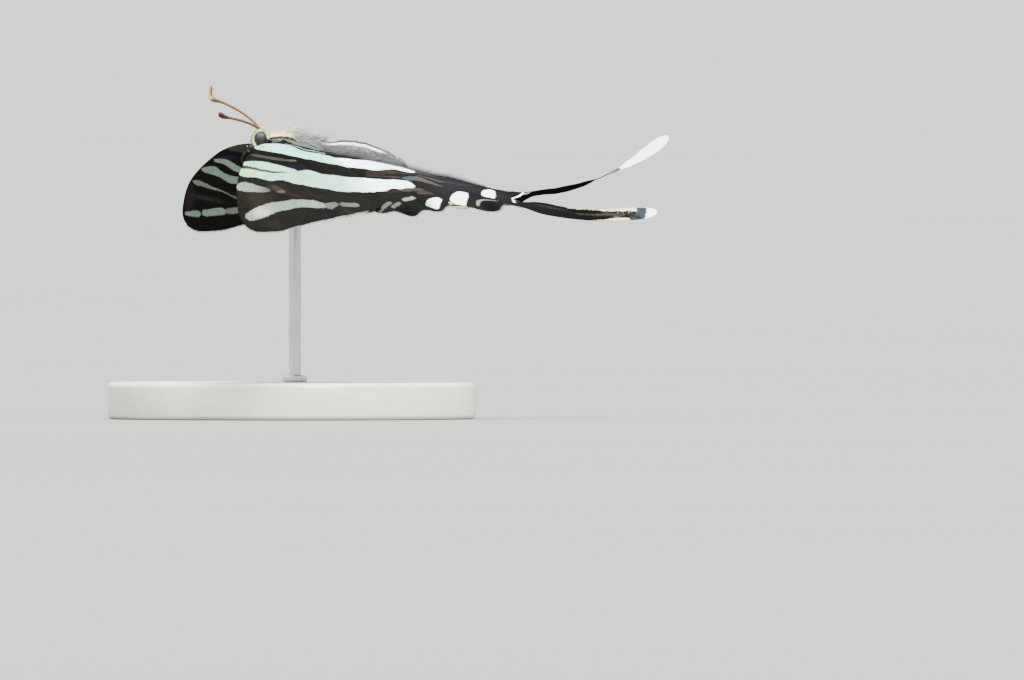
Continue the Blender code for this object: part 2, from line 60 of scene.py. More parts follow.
def seen(red, green, blue, light=WING_LIGHT):
    """The albedo that shows as about this colour, 0 to 255, where this much of the studio's light falls.

    It undoes the view's curve and its spreading of colours, by a rough fit.
    """
    shown = np.array([red, green, blue]) / 256
    shown = 0.447 * shown + 0.553 * shown.mean()
    level = 0.248 * shown**1.27 / (1 - np.minimum(shown, 0.98)) ** 1.18
    level = 1.32 * level - 0.32 * level.mean()
    return np.clip(level / light, 0.003, 0.93)


# Curves and keys
def smooth(points, step, looped=False):
    """Points about a step apart on a Catmull-Rom curve through rows of two or three numbers."""
    points = np.array(points, float)
    count = len(points)
    found = []
    for i in range(count if looped else count - 1):
        near = [(i + k) % count if looped else min(max(i + k, 0), count - 1) for k in (-1, 0, 1, 2)]
        a, b, c, d = points[near]
        pieces = max(1, round(np.linalg.norm((c - b)[:2]) / step))
        for j in range(pieces):
            t = j / pieces
            bend = (2 * a - 5 * b + 4 * c - d) * t**2 + (3 * b - a - 3 * c + d) * t**3
            found.append(b + 0.5 * ((c - a) * t + bend))
    if not looped:
        found.append(points[-1])
    return np.array(found)


def key_spans(keys, x):
    """Places and values of the keys, and for each x the key before it and its share of the way on."""
    places, values = np.array(keys, float).T
    x = np.clip(x, places[0], places[-1])
    i = np.clip(np.searchsorted(places, x, side="right") - 1, 0, len(places) - 2)
    return places, values, i, (x - places[i]) / (places[i + 1] - places[i])


def keyed(keys, x):
    """Smooth values at x of (place, value) pairs, held at both ends."""
    _, values, i, t = key_spans(keys, x)
    return values[i] + (values[i + 1] - values[i]) * t * t * (3 - 2 * t)


def curved(keys, x):
    """Values at x on an evenly bending curve through (place, value) pairs, held at both ends."""
    places, values, i, t = key_spans(keys, x)
    slopes = np.zeros(len(places))
    slopes[1:-1] = (values[2:] - values[:-2]) / (places[2:] - places[:-2])
    slopes[-1] = (values[-1] - values[-2]) / (places[-1] - places[-2])
    run, rise = places[i + 1] - places[i], values[i + 1] - values[i]
    start, end = slopes[i] * run, slopes[i + 1] * run
    return values[i] + start * t + (3 * rise - 2 * start - end) * t**2 + (start + end - 2 * rise) * t**3


def ramp(x, start, end):
    t = np.clip((x - start) / (end - start), 0, 1)
    return t * t * (3 - 2 * t)


def unit(vectors):
    return vectors / np.maximum(np.linalg.norm(vectors, axis=-1, keepdims=True), 1e-9)


def turns(sides):
    """Angles evenly round a circle."""
    return [2 * math.pi * k / sides for k in range(sides)]


# The wing sheets, as the solids have them
ROOT_Y = 2.0
ROOT_DROOP = math.radians(8)
TIP_DROOP = math.radians(45)
DROOP_RUN = 42.0
LAYER = 0.40  # a shown forewing lies this far above the sheet, a hindwing below it
HALF_THICK = 0.055
TAIL_S = 14.6
TAIL_ROOT_X = 35.6
TAIL_HALF = 1.2
TAIL_FLARE = [(2.0, -0.6), (1.75, 2.4), (1.4, 6.4), (TAIL_HALF, 10.0)]  # half width, from the root
TAIL_TIP_X = {"left": 57.9, "right": 64.3}
TAIL_LIFT = {
    "left": [(28, 0), (42, 0), (45, 0.18), (48, 0.58), (51, 1.25), (54, 2.0), (58.2, 3.2)],
    "right": [
        (30, 0), (34, 0.1), (37, 0.55), (40, 1.95), (42, 3.0), (44, 3.7), (46, 4.3), (50, 6.1), (54, 8.5),
        (58, 11.3), (64.3, 16.5),
    ],
}
TAIL_ROLL = {
    "left": [(34, 14), (41, 40), (48, 52), (53, 50), (56, 40), (58.2, 46)],
    "right": [
        (36.6, 14), (39.4, 34), (42, 19), (47, 26), (50, 21), (53.5, 0), (56.2, -10), (58, -26),
        (60.5, -46), (64.3, -54),
    ],
}
HANGING_LOBES = {"left": [(16.0, 3.0, 0.5)], "right": [(28.4, 5.0, -0.7)]}
CURL_WIDTH = 4.5
INNER_FLARE = [(6, 0), (13, 0.35), (18, 0.5), (24, 0)]
FLARE_WIDTH = 3.0

FOREWING_EDGE = [
    (0.0, -1.7), (6.6, -3.4), (12.2, -6.9), (17.5, -9.0), (23.0, -10.5), (31.6, -12.85), (37.1, -13.5),
    (41.2, -13.2), (43.0, -11.0), (41.9, -6.8), (40.0, -3.6), (38.0, 0.0), (36.1, 3.2), (34.3, 6.2),
    (32.5, 9.0), (30.6, 10.8), (27.4, 10.5), (18.0, 7.6), (9.0, 4.2), (0.0, 0.9),
]
HINDWING_COSTA = [(0.0, 0.7), (3.2, -0.7), (10.0, 0.8), (18.0, 3.4), (25.5, 6.0), (30.9, 9.3)]
HINDWING_LOBES = [(31.6, 10.9), (29.5, 16.3), (27.1, 20.7), (22.9, 28.9)]
OUTER_BAYS = [0.6, 0.9, 2.6]
TAIL_SHOULDER = [(21.4, 31.0), (18.4, 32.0), (16.4, 33.0)]
ANAL_EDGE = [(12.2, 34.7), (10.2, 35.1), (8.3, 36.8), (6.4, 36.2)]
HINDWING_INNER = [
    (4.6, 35.4), (3.9, 34.4), (3.9, 32.4), (3.2, 30.2), (1.9, 27.6), (1.6, 25.0), (2.2, 21.5),
    (0.6, 17.0), (0.4, 10.0), (0.0, 4.3),
]
FOREWING_VEINS = [
    [(1.0, -1.2), (9.0, -4.0), (14.0, -6.6), (21.5, -8.6)],
    [(13.0, -6.3), (19.0, -8.4), (25.2, -10.7)],
    [(17.2, -7.6), (24.0, -9.9), (30.8, -12.1)],
    [(21.5, -8.6), (29.0, -11.0), (36.4, -12.9)],
    [(21.5, -8.6), (31.0, -10.4), (42.4, -11.4)],
    [(22.2, -7.2), (32.0, -7.9), (41.6, -7.2)],
    [(22.3, -5.2), (31.0, -4.9), (39.0, -2.9)],
    [(21.4, -3.2), (29.0, -1.8), (36.9, 1.4)],
    [(18.6, -1.9), (26.0, 0.9), (34.8, 4.9)],
    [(13.6, -0.7), (22.0, 3.6), (32.2, 8.9)],
    [(1.0, 0.2), (12.0, 3.4), (26.4, 9.4)],
    [(1.0, -0.9), (7.0, -1.0), (13.6, -0.7), (18.6, -1.9), (21.4, -3.2), (22.3, -5.2), (22.2, -7.2),
     (21.5, -8.6)],
]
HINDWING_VEINS = [
    [(1.0, 1.2), (8.0, 2.2), (18.0, 5.2), (29.8, 11.0)],
    [(11.6, 10.6), (19.0, 13.0), (28.4, 16.4)],
    [(12.8, 12.6), (19.0, 16.4), (26.4, 21.9)],
    [(12.8, 14.6), (18.0, 21.0), (22.4, 28.4)],
    [(11.8, 16.4), (14.6, 25.0), (14.6, TAIL_ROOT_X), (14.6, 54.0)],
    [(10.0, 15.4), (11.0, 25.0), (10.4, 33.6)],
    [(7.6, 12.2), (8.0, 22.0), (7.2, 33.2)],
    [(1.0, 3.6), (4.2, 9.6), (5.6, 19.0), (5.0, 32.4)],
    [(1.0, 2.0), (7.0, 5.4), (11.6, 10.6), (12.8, 12.6), (12.8, 14.6), (11.8, 16.4), (10.0, 15.4),
     (7.6, 12.2), (1.0, 2.9)],
]

PROFILE_S = np.linspace(-2, 50, 1041)
PROFILE_ANGLE = ROOT_DROOP + TIP_DROOP * (PROFILE_S / DROOP_RUN) ** 2


def running_sum(values):
    """The integral of values along PROFILE_S, zero where s is zero."""
    total = np.concatenate([[0], np.cumsum((values[1:] + values[:-1]) / 2 * np.diff(PROFILE_S))])
    return total - np.interp(0, PROFILE_S, total)


PROFILE_OUT = ROOT_Y + running_sum(np.cos(PROFILE_ANGLE))
PROFILE_DOWN = running_sum(np.sin(PROFILE_ANGLE))


def sheet_point(side, flat, offset, hind):
    """Wing points in mm of flat ones (s outward, x towards the tail), offset along the sheet's normal."""
    sign = SIGN[side]
    s, x = flat.T
    out, down = np.interp(s, PROFILE_S, PROFILE_OUT), np.interp(s, PROFILE_S, PROFILE_DOWN)
    angle = ROOT_DROOP + TIP_DROOP * (s / DROOP_RUN) ** 2
    up = unit(np.stack([FALL * np.cos(angle), sign * np.sin(angle), np.cos(angle)], -1))
    place = np.stack([x, sign * out, HINGE_HEIGHT - FALL * x - down], -1)
    if not hind:
        return place + up * offset[:, None]
    edge = keyed([(p[1], p[0]) for p in HINDWING_LOBES], x)
    for centre, reach, depth in HANGING_LOBES[side]:
        near = 1 - np.minimum(np.abs(x - centre) / reach, 1) ** 2
        inward = np.clip((s - edge + CURL_WIDTH) / CURL_WIDTH, 0, 1.2)
        place[:, 2] -= depth * near * inward**2
    place[:, 2] += keyed(INNER_FLARE, x) * np.maximum(1 - s / FLARE_WIDTH, 0) ** 2
    rolled = ramp(x, TAIL_ROOT_X - 1.5, TAIL_ROOT_X + 3)[:, None]
    roll = np.radians(keyed(TAIL_ROLL[side], x))
    mid_out = np.interp(TAIL_S, PROFILE_S, PROFILE_OUT)
    mid_down = np.interp(TAIL_S, PROFILE_S, PROFILE_DOWN)
    level = np.zeros_like(x)
    middle = np.stack([x, level + sign * mid_out, HINGE_HEIGHT - FALL * x - mid_down], -1)
    across = np.stack([level, sign * np.cos(roll), -np.sin(roll)], -1)
    tail_up = unit(np.stack([FALL * np.cos(roll), sign * np.sin(roll), np.cos(roll)], -1))
    place = place + (middle + across * (s - TAIL_S)[:, None] - place) * rolled
    up = unit(up + (tail_up - up) * rolled)
    place[:, 2] += curved(TAIL_LIFT[side], x)
    return place + up * offset[:, None]


def with_bays(lobes, depths):
    """Lobe ends with a bay between each pair, set in from the line that joins them."""
    found = [lobes[0]]
    for a, b, depth in zip(lobes, lobes[1:], depths):
        along = unit(np.subtract(b, a))
        middle = np.add(a, b) / 2
        found += [(middle[0] - along[1] * depth, middle[1] + along[0] * depth), b]
    return found


def hindwing_edge(side):
    tip = TAIL_TIP_X[side]
    outer_side = [(TAIL_S + out, TAIL_ROOT_X + x) for out, x in TAIL_FLARE]
    outer_side += [(TAIL_S + TAIL_HALF, tip - 7), (TAIL_S + 1.15 * TAIL_HALF, tip - 2.2)]
    outer_side += [(TAIL_S + 0.7, tip - 0.4)]
    inner_side = [(2 * TAIL_S - s, x) for s, x in reversed(outer_side)]
    outline = HINDWING_COSTA + with_bays(HINDWING_LOBES, OUTER_BAYS) + TAIL_SHOULDER
    outline += outer_side + [(TAIL_S, tip)] + inner_side
    return outline + ANAL_EDGE + HINDWING_INNER


def wing_plan(hind, side):
    """A wing's outline and its veins, laid flat."""
    return (hindwing_edge(side), HINDWING_VEINS) if hind else (FOREWING_EDGE, FOREWING_VEINS)


# Signed distances on the flat wing, in mm, positive inside
def path_distance(points, path):
    """Distance from each point to an open path, less the path's half width where its rows have one."""
    a, b = path[:-1], path[1:]
    run = (b - a)[:, :2]
    length = np.maximum((run**2).sum(1), 1e-9)
    best = np.full(len(points), 1e9)
    for i in range(len(a)):
        t = np.clip(((points - a[i, :2]) @ run[i]) / length[i], 0, 1)
        gap = np.linalg.norm(points - a[i, :2] - t[:, None] * run[i], axis=1)
        if path.shape[1] > 2:
            gap -= a[i, 2] + (b[i, 2] - a[i, 2]) * t
        best = np.minimum(best, gap)
    return best


def closed(loop):
    return np.vstack([loop, loop[:1]])


def is_inside(points, loop):
    inside = np.zeros(len(points), bool)
    for a, b in zip(loop, np.roll(loop, -1, axis=0)):
        spans = (a[1] > points[:, 1]) != (b[1] > points[:, 1])
        if a[1] != b[1]:
            cross = a[0] + (b[0] - a[0]) * (points[:, 1] - a[1]) / (b[1] - a[1])
            inside ^= spans & (points[:, 0] < cross)
    return inside


def patch(points, outline):
    """Signed distance to a closed outline."""
    loop = smooth(outline, 0.7, looped=True)
    gap = path_distance(points, closed(loop))
    return np.where(is_inside(points, loop), gap, -gap)


def trimmed(points, outline):
    """The same, for an outline drawn a little too large."""
    return patch(points, outline) - 0.32


def band(points, spine):
    """Signed distance to a band along rows (s, x, half width)."""
    return -path_distance(points, smooth(spine, 0.8))


# Colours of the scales
PALE = seen(200, 232, 220)
PALE_TURQUOISE = seen(196, 240, 226)
# Painted sunlight: the pale of the marks as it shows in full sun, on the hindwing's stripes and the
# forewing's rear
SUNLIT = seen(236, 246, 240)
CREAM = seen(224, 234, 188)
TAIL_CREAM = seen(234, 234, 216)
DULL_PALE = seen(186, 195, 183)
TINTED_PALE = seen(182, 214, 200)
FADED_PALE = seen(126, 142, 128)
ROOT_GREY = seen(158, 164, 158)
MARGIN_GREY = seen(134, 144, 146)
GREY_PALE = seen(156, 156, 144)
UNDER_PALE = seen(128, 158, 146, UNDER_LIGHT)
UNDER_CREAM = seen(226, 226, 196, UNDER_LIGHT)
UNDER_GREY = seen(132, 132, 120, UNDER_LIGHT)
BAR = seen(104, 102, 92)
BEIGE = seen(130, 122, 100)
NAVY = seen(40, 38, 64)
WHITE = seen(250, 252, 249)
MAROON = seen(86, 56, 60)
RED_BROWN = seen(110, 85, 84)
OLIVE_GREY = seen(130, 128, 118)
VIOLET_GREY = seen(108, 102, 122)
OLIVE = seen(96, 86, 52)
BROWN = seen(124, 102, 80)
ICE_BLUE = seen(104, 128, 130)
STEEL_BLUE = seen(44, 78, 92)
TAIL_BLUE = seen(108, 116, 130)
TAIL_STEEL = seen(70, 80, 100)
TAIL_STREAK = seen(72, 62, 74)
TAIL_PINK = seen(122, 92, 90)
RED = seen(150, 56, 44, UNDER_LIGHT)
GROUND = seen(49, 49, 41)
DEEP = seen(24, 28, 24)
BLACK = seen(14, 14, 13)
UNDER_GROUND = seen(24, 23, 20, UNDER_LIGHT)
UNDER_SMEAR = seen(62, 64, 54, UNDER_LIGHT)
FRINGE_TONE = {"forewing": seen(196, 200, 190), "hindwing": seen(160, 160, 156)}

# Marks: (shape, colour, points). A patch is an outline of (s, x); a band is a line of (s, x, half width).
STRIPE_ONE = [
    (13.9, -7.4), (11.8, -6.4), (9.6, -4.6), (8.2, -3.0), (8.0, -1.8), (9.6, -0.7), (10.5, 0.4),
    (10.6, 3.0), (10.9, 5.6), (13.5, 7.6), (17.0, 8.2), (16.6, 6.4), (16.8, 2.5), (16.5, -1.5),
    (16.3, -4.0), (17.0, -6.8), (17.2, -8.0), (15.8, -8.4),
]
STRIPE_TWO_FRONT = [
    (25.3, -11.7), (24.0, -9.6), (23.3, -7.7), (23.3, -5.0), (23.6, -3.2), (24.4, -2.4), (25.4, -3.6),
    (26.0, -5.3), (26.35, -6.8), (26.3, -8.2), (26.2, -9.6), (26.4, -11.8),
]
STRIPE_TWO_MAIN = [
    (28.0, -12.3), (27.35, -10.4), (27.3, -8.2), (27.2, -6.7), (26.5, -5.2), (25.6, -3.8), (24.3, -2.2),
    (23.2, -1.0), (22.9, 0.2), (23.4, 1.6), (22.9, 4.1), (22.1, 7.0), (21.2, 10.0), (25.4, 11.6),
    (26.7, 9.4), (28.0, 6.3), (28.9, 3.4), (29.0, 0.9), (29.1, -3.0), (28.9, -5.6), (30.0, -7.6),
    (29.8, -9.7), (30.4, -11.7), (29.4, -12.9),
]
STRIPE_THREE = [
    (33.6, -13.4), (32.3, -12.4), (32.0, -11.2), (32.1, -9.5), (32.3, -8.2), (32.8, -7.6), (33.4, -8.0),
    (34.1, -10.1), (34.5, -11.7), (34.6, -13.1),
]
SUBMARGINAL = [
    (40.3, -11.6, 0.8), (39.2, -10.2, 1.0), (38.2, -9.0, 1.1), (37.0, -7.4, 1.0), (36.1, -5.7, 0.95),
    (35.2, -4.1, 0.95), (34.5, -2.5, 0.95), (34.2, -0.8, 1.0), (34.1, 0.4, 0.85),
]
FORE_UPPER = [
    (patch, PALE_TURQUOISE, STRIPE_ONE),
    (patch, ROOT_GREY, [
        (-0.2, -1.9), (2.6, -1.6), (4.8, -0.8), (6.2, 0.6), (6.9, 2.6), (6.8, 3.8), (4.0, 2.4),
        (0.0, 1.2)]),
    (band, TINTED_PALE, [(6.6, -2.2, 0.16), (7.8, -0.7, 0.26), (8.6, 1.2, 0.32), (8.8, 4.0, 0.28)]),
    (band, BAR, [(20.9, -8.9, 0.6), (20.4, -6.0, 0.95), (20.1, -4.2, 0.8)]),
    (band, BEIGE, [(20.0, -3.2, 0.55), (19.6, -2.4, 0.5)]),
    (patch, NAVY, [(21.7, -3.4), (20.9, -0.9), (22.5, -0.8), (23.0, -2.4), (22.9, -3.4)]),
    (patch, PALE, STRIPE_TWO_FRONT),
    (patch, PALE, STRIPE_TWO_MAIN),
    (patch, DULL_PALE, STRIPE_THREE),
    (band, BEIGE, [(32.9, -6.4, 0.25), (32.4, -5.6, 0.45)]),
    (band, DULL_PALE, SUBMARGINAL),
    (band, GREY_PALE, [(33.9, 1.8, 0.8), (33.1, 2.8, 0.6)]),
    (band, GREY_PALE, [(32.8, 4.2, 0.55), (32.0, 6.4, 0.55)]),
]
FORE_UNDER = [
    (patch, UNDER_SMEAR, STRIPE_ONE),
    (patch, UNDER_PALE, [
        (22.9, -10.0), (21.8, -8.3), (22.8, -7.0), (24.2, -5.0), (25.4, -4.0), (26.2, -5.4), (25.3, -6.8),
        (24.1, -8.2), (23.9, -9.8)]),
    (patch, UNDER_PALE, [
        (27.6, -11.6), (26.0, -10.4), (25.7, -9.3), (27.5, -7.6), (27.7, -5.6), (26.4, -3.6),
        (24.2, -2.0), (22.9, 0.2), (23.4, 1.6), (22.9, 4.1), (22.1, 7.0), (21.2, 10.0), (26.8, 11.6),
        (27.1, 9.0), (28.6, 4.0), (29.0, 0.0), (29.3, -4.0), (30.1, -6.4), (29.5, -7.6), (28.8, -9.0),
        (28.3, -11.2)]),
    (band, UNDER_GREY, [(31.9, -11.8, 0.7), (32.3, -10.0, 0.5), (33.0, -7.4, 0.2), (34.0, -5.0, 0.18)]),
    (band, UNDER_PALE, [(39.9, -12.6, 0.45), (39.5, -11.2, 0.75)]),
    (band, UNDER_PALE, [(38.9, -9.6, 0.75), (37.9, -7.2, 0.85)]),
    (band, UNDER_GREY, [(37.4, -5.8, 0.75), (36.7, -4.2, 0.7)]),
    (band, UNDER_GREY, [(35.6, -2.4, 0.5), (34.6, -0.8, 0.5)]),
    (band, GREY_PALE, [(33.9, 1.8, 0.8), (32.4, 6.0, 0.5)]),
]
HIND_STRIPE_ONE = [
    (6.8, 3.5), (5.5, 6.2), (3.2, 9.3), (1.0, 12.2), (0.6, 14.9), (0.9, 17.6), (2.2, 19.6), (3.6, 19.4),
    (4.9, 18.2), (5.3, 16.5), (5.8, 15.3), (8.0, 13.9), (10.0, 12.5), (11.2, 10.9), (11.6, 9.2),
    (12.2, 6.0), (12.5, 2.5), (10.0, -0.5),
]
HIND_STRIPE_TWO = [
    (20.4, 3.0), (19.4, 7.0), (18.2, 10.0), (17.2, 12.8), (15.1, 15.5), (15.0, 17.0), (16.3, 17.8),
    (17.6, 17.7), (19.2, 16.5), (20.5, 15.0), (21.3, 13.6), (23.2, 12.1), (25.2, 9.0), (26.4, 5.6),
]
SQUARE_TWO = [
    (24.5, 18.6), (21.9, 19.7), (20.6, 21.0), (21.2, 22.1), (23.9, 21.5), (26.6, 20.8), (26.4, 19.6),
    (26.0, 18.5),
]
SQUARE_THREE = [
    (20.2, 23.0), (16.5, 24.1), (14.5, 25.2), (14.4, 27.0), (17.2, 26.9), (19.4, 26.4), (23.6, 25.6),
    (24.0, 24.2), (21.8, 23.1),
]
SQUARE_FOUR = [
    (9.5, 29.6), (7.1, 31.0), (7.2, 32.4), (10.6, 32.2), (14.5, 31.5), (14.8, 30.4), (14.7, 29.0),
]
HIND_LIGHTS = [
    (band, DULL_PALE, [(25.4, 15.2, 0.45), (24.2, 16.2, 0.5), (23.3, 16.9, 0.4)]),
    (band, GREY_PALE, [(31.4, 10.4, 0.3), (29.0, 11.7, 0.35), (27.5, 12.6, 0.4)]),
    (band, GREY_PALE, [(29.0, 12.9, 0.3), (26.9, 14.2, 0.35)]),
    (trimmed, WHITE, SQUARE_TWO),
    (trimmed, WHITE, SQUARE_THREE),
    (trimmed, WHITE, SQUARE_FOUR),
    (band, CREAM, [(22.4, 23.1, 0.3), (23.9, 23.3, 0.28)]),
    (band, DULL_PALE, [(21.2, 27.7, 0.22), (18.3, 28.2, 0.3), (16.4, 29.4, 0.24), (15.6, 31.6, 0.16)]),
    (band, WHITE, [
        (14.2, 34.6, 0.15), (12.2, 34.7, 0.22), (10.4, 35.0, 0.28), (8.9, 36.0, 0.32),
        (8.0, 36.8, 0.32)]),
]
HIND_UPPER = [
    (band, MARGIN_GREY, [
        (0.3, 6, 0.5), (0.4, 12, 0.6), (0.6, 18, 0.7), (1.5, 21.0, 0.7), (1.6, 23.0, 0.3)]),
    (patch, SUNLIT, HIND_STRIPE_ONE),
    (patch, SUNLIT, HIND_STRIPE_TWO),
    *HIND_LIGHTS,
    (patch, MAROON, [(13.0, 10.6), (9.6, 13.6), (12.6, 13.6), (15.6, 12.8), (16.4, 10.4)]),
    (band, RED_BROWN, [(14.4, 13.2, 0.35), (13.5, 14.6, 0.55), (12.6, 15.8, 0.35)]),
    (patch, OLIVE, [(10.6, 13.0), (7.6, 14.3), (6.2, 16.0), (8.0, 16.6), (10.8, 15.2), (11.8, 13.6)]),
    (band, RED_BROWN, [(8.6, 16.8, 0.4), (6.6, 18.0, 0.55), (4.6, 19.4, 0.45)]),
    (patch, ICE_BLUE, [(12.4, 16.3), (8.6, 18.9), (10.6, 19.2), (13.0, 18.3), (14.0, 16.6)]),
    (band, STEEL_BLUE, [(16.6, 10.2, 0.4), (14.9, 13.0, 0.4)]),
    (band, BROWN, [(21.6, 14.8, 0.4), (19.9, 16.7, 0.9), (18.2, 18.6, 0.7)]),
    (patch, OLIVE_GREY, [
        (8.6, 18.8), (12.4, 18.6), (13.0, 20.4), (13.4, 23.0), (11.4, 21.6), (9.2, 20.8)]),
    (band, ROOT_GREY, [(6.6, 19.6, 0.2), (7.6, 21.4, 0.3), (8.8, 23.4, 0.12)]),
    (band, VIOLET_GREY, [(8.6, 22.5, 0.12), (7.2, 25.2, 0.35), (6.2, 28.4, 0.12)]),
    (band, RED_BROWN, [(20.9, 18.2, 0.5), (19.4, 19.4, 0.8), (19.8, 20.4, 0.4)]),
    (band, MAROON, [(23.5, 12.7, 0.35), (21.9, 14.8, 0.35)]),
]
HIND_UNDER = [
    (patch, UNDER_PALE, HIND_STRIPE_ONE),
    (patch, UNDER_PALE, HIND_STRIPE_TWO),
    *HIND_LIGHTS,
    (band, RED, [
        (15.5, 2.6, 0.3), (15.2, 7.0, 0.4), (14.2, 11.0, 0.4), (11.6, 15.6, 0.4), (8.0, 20.0, 0.35)]),
    (band, WHITE, [(14.7, 4.0, 0.16), (14.2, 7.6, 0.2), (13.0, 11.4, 0.2), (10.4, 15.6, 0.18)]),
    (band, WHITE, [(13.5, 37.6, 0.25), (13.5, 41.0, 0.2)]),
    (patch, RED, [(8.6, 31.6), (7.6, 33.4), (9.4, 33.8), (10.2, 32.2)]),
    (band, UNDER_CREAM, [(22.4, 28.6, 1.1), (21.3, 30.2, 1.2), (19.4, 31.3, 0.8)]),
]

# Clouds, soft patches in the dark ground: (s, x, reach along s, reach along x, colour, strength)
FORE_CLOUDS = [
    (20.0, -4.0, 3.6, 9.0, DEEP, 0.9),
    (36.2, -10.2, 1.8, 1.6, seen(76, 74, 52), 0.9),
    (26.9, -8.6, 0.8, 3.0, seen(126, 136, 126), 0.95),
    (34.9, -8.9, 0.6, 1.5, seen(86, 58, 52), 0.9),
    (32.9, -3.4, 0.6, 1.6, seen(86, 54, 50), 0.9),
    (31.7, 0.0, 0.5, 1.5, seen(80, 52, 48), 0.8),
    (31.8, -6.6, 0.8, 0.9, seen(130, 98, 88), 0.7),
    (36.0, 1.4, 0.8, 1.8, NAVY, 0.8),
    (34.4, 5.2, 0.9, 1.3, seen(84, 60, 46), 0.8),
    (39.4, -7.0, 1.8, 4.0, seen(54, 51, 45), 0.8),
    (41.0, -8.0, 0.9, 1.6, seen(82, 60, 60), 0.6),
    (18.6, 3.4, 1.2, 3.2, seen(52, 40, 46), 0.7),
    (30.8, 5.0, 2.2, 4.0, seen(52, 51, 44), 0.8),
]
HIND_CLOUDS = [
    (2.2, 21.4, 1.3, 2.6, seen(166, 172, 172), 0.75),
    (12.0, 25.0, 9.0, 6.5, seen(70, 68, 74), 0.9),
    (14.6, 28.4, 3.6, 3.6, seen(46, 36, 56), 0.8),
    (7.0, 25.0, 5.0, 3.4, seen(70, 66, 88), 0.7),
    (11.0, 31.5, 3.4, 3.0, seen(74, 60, 80), 0.7),
    (29.4, 15.3, 2.6, 2.1, BLACK, 1.0),
    (14.6, 45.0, 4.0, 8.0, BLACK, 0.8),
    (20.2, 30.2, 3.0, 2.0, BLACK, 1.0),
    (24.2, 17.8, 1.6, 1.2, seen(32, 42, 36), 0.9),
    (24.0, 12.0, 3.6, 2.6, seen(54, 52, 48), 0.8),
    (17.0, 8.0, 2.4, 5.0, DEEP, 0.6),
]
FORE_UNDER_CLOUDS = [
    (36.8, -12.6, 2.6, 0.8, seen(58, 36, 52, UNDER_LIGHT), 0.8),
    (20.8, -7.8, 1.4, 1.6, seen(34, 30, 56, UNDER_LIGHT), 0.8),
    (35.6, -9.8, 0.5, 2.6, seen(56, 56, 50, UNDER_LIGHT), 0.8),
]
# Tints, soft patches of the same kind in the pale marks; those in SUNLIT are painted sunlight
FORE_TINTS = [
    (14.4, -7.8, 1.6, 1.3, seen(200, 226, 200), 0.7),
    (28.9, -10.8, 1.7, 2.2, CREAM, 0.95),
    (35.4, -4.0, 1.6, 2.6, seen(164, 200, 186), 0.75),
    (12.2, -4.4, 2.2, 1.4, seen(214, 230, 246), 0.8),
    (13.0, 7.6, 4.0, 2.6, SUNLIT, 0.9),
    (24.6, 10.5, 4.5, 4.0, SUNLIT, 0.85),
    (25.4, -1.6, 2.2, 1.5, seen(196, 230, 196), 0.8),
    (33.0, -9.2, 1.4, 1.3, FADED_PALE, 0.6),
    (32.8, -8.0, 1.1, 1.0, seen(96, 104, 92), 0.85),
    (38.6, -9.8, 1.4, 1.6, seen(222, 226, 216), 0.8),
]
HIND_TINTS = [
    (25.4, 19.2, 1.0, 0.9, seen(120, 164, 150), 0.8),
    (21.6, 25.6, 1.6, 0.8, seen(248, 250, 206), 0.8),
    (13.6, 16.0, 1.4, 1.6, seen(212, 240, 222), 0.7),
    (24.0, 6.0, 3.0, 4.0, PALE, 0.6),
    (15.8, 31.4, 1.2, 1.6, seen(140, 140, 134), 0.7),
]


def shaded(colours, points, clouds, share=1.0):
    """Colours with soft patches of others laid in, by a share of their strength."""
    for s, x, reach_s, reach_x, colour, strength in clouds:
        near = np.exp(-(((points[:, 0] - s) / reach_s) ** 2) - ((points[:, 1] - x) / reach_x) ** 2)
        colours = colours + (colour - colours) * (near * strength * share)[:, None]
    return colours


def paint(points, marks, ground, clouds, tints):
    """The deepest mark's signed distance, its colour, and the ground's colour at flat points."""
    depth = np.full(len(points), -9.0)
    tone = np.tile(PALE, (len(points), 1))
    for shape, colour, outline in marks:
        found = shape(points, outline)
        over = (found > depth) | (found > 0.05)
        depth = np.where(over, np.maximum(found, np.minimum(depth, found + 0.6)), depth)
        tone[over] = colour
    base = np.tile(ground, (len(points), 1))
    pale = ramp(tone.mean(1), 0.08, 0.14)
    return depth, shaded(tone, points, tints, pale), shaded(base, points, clouds)


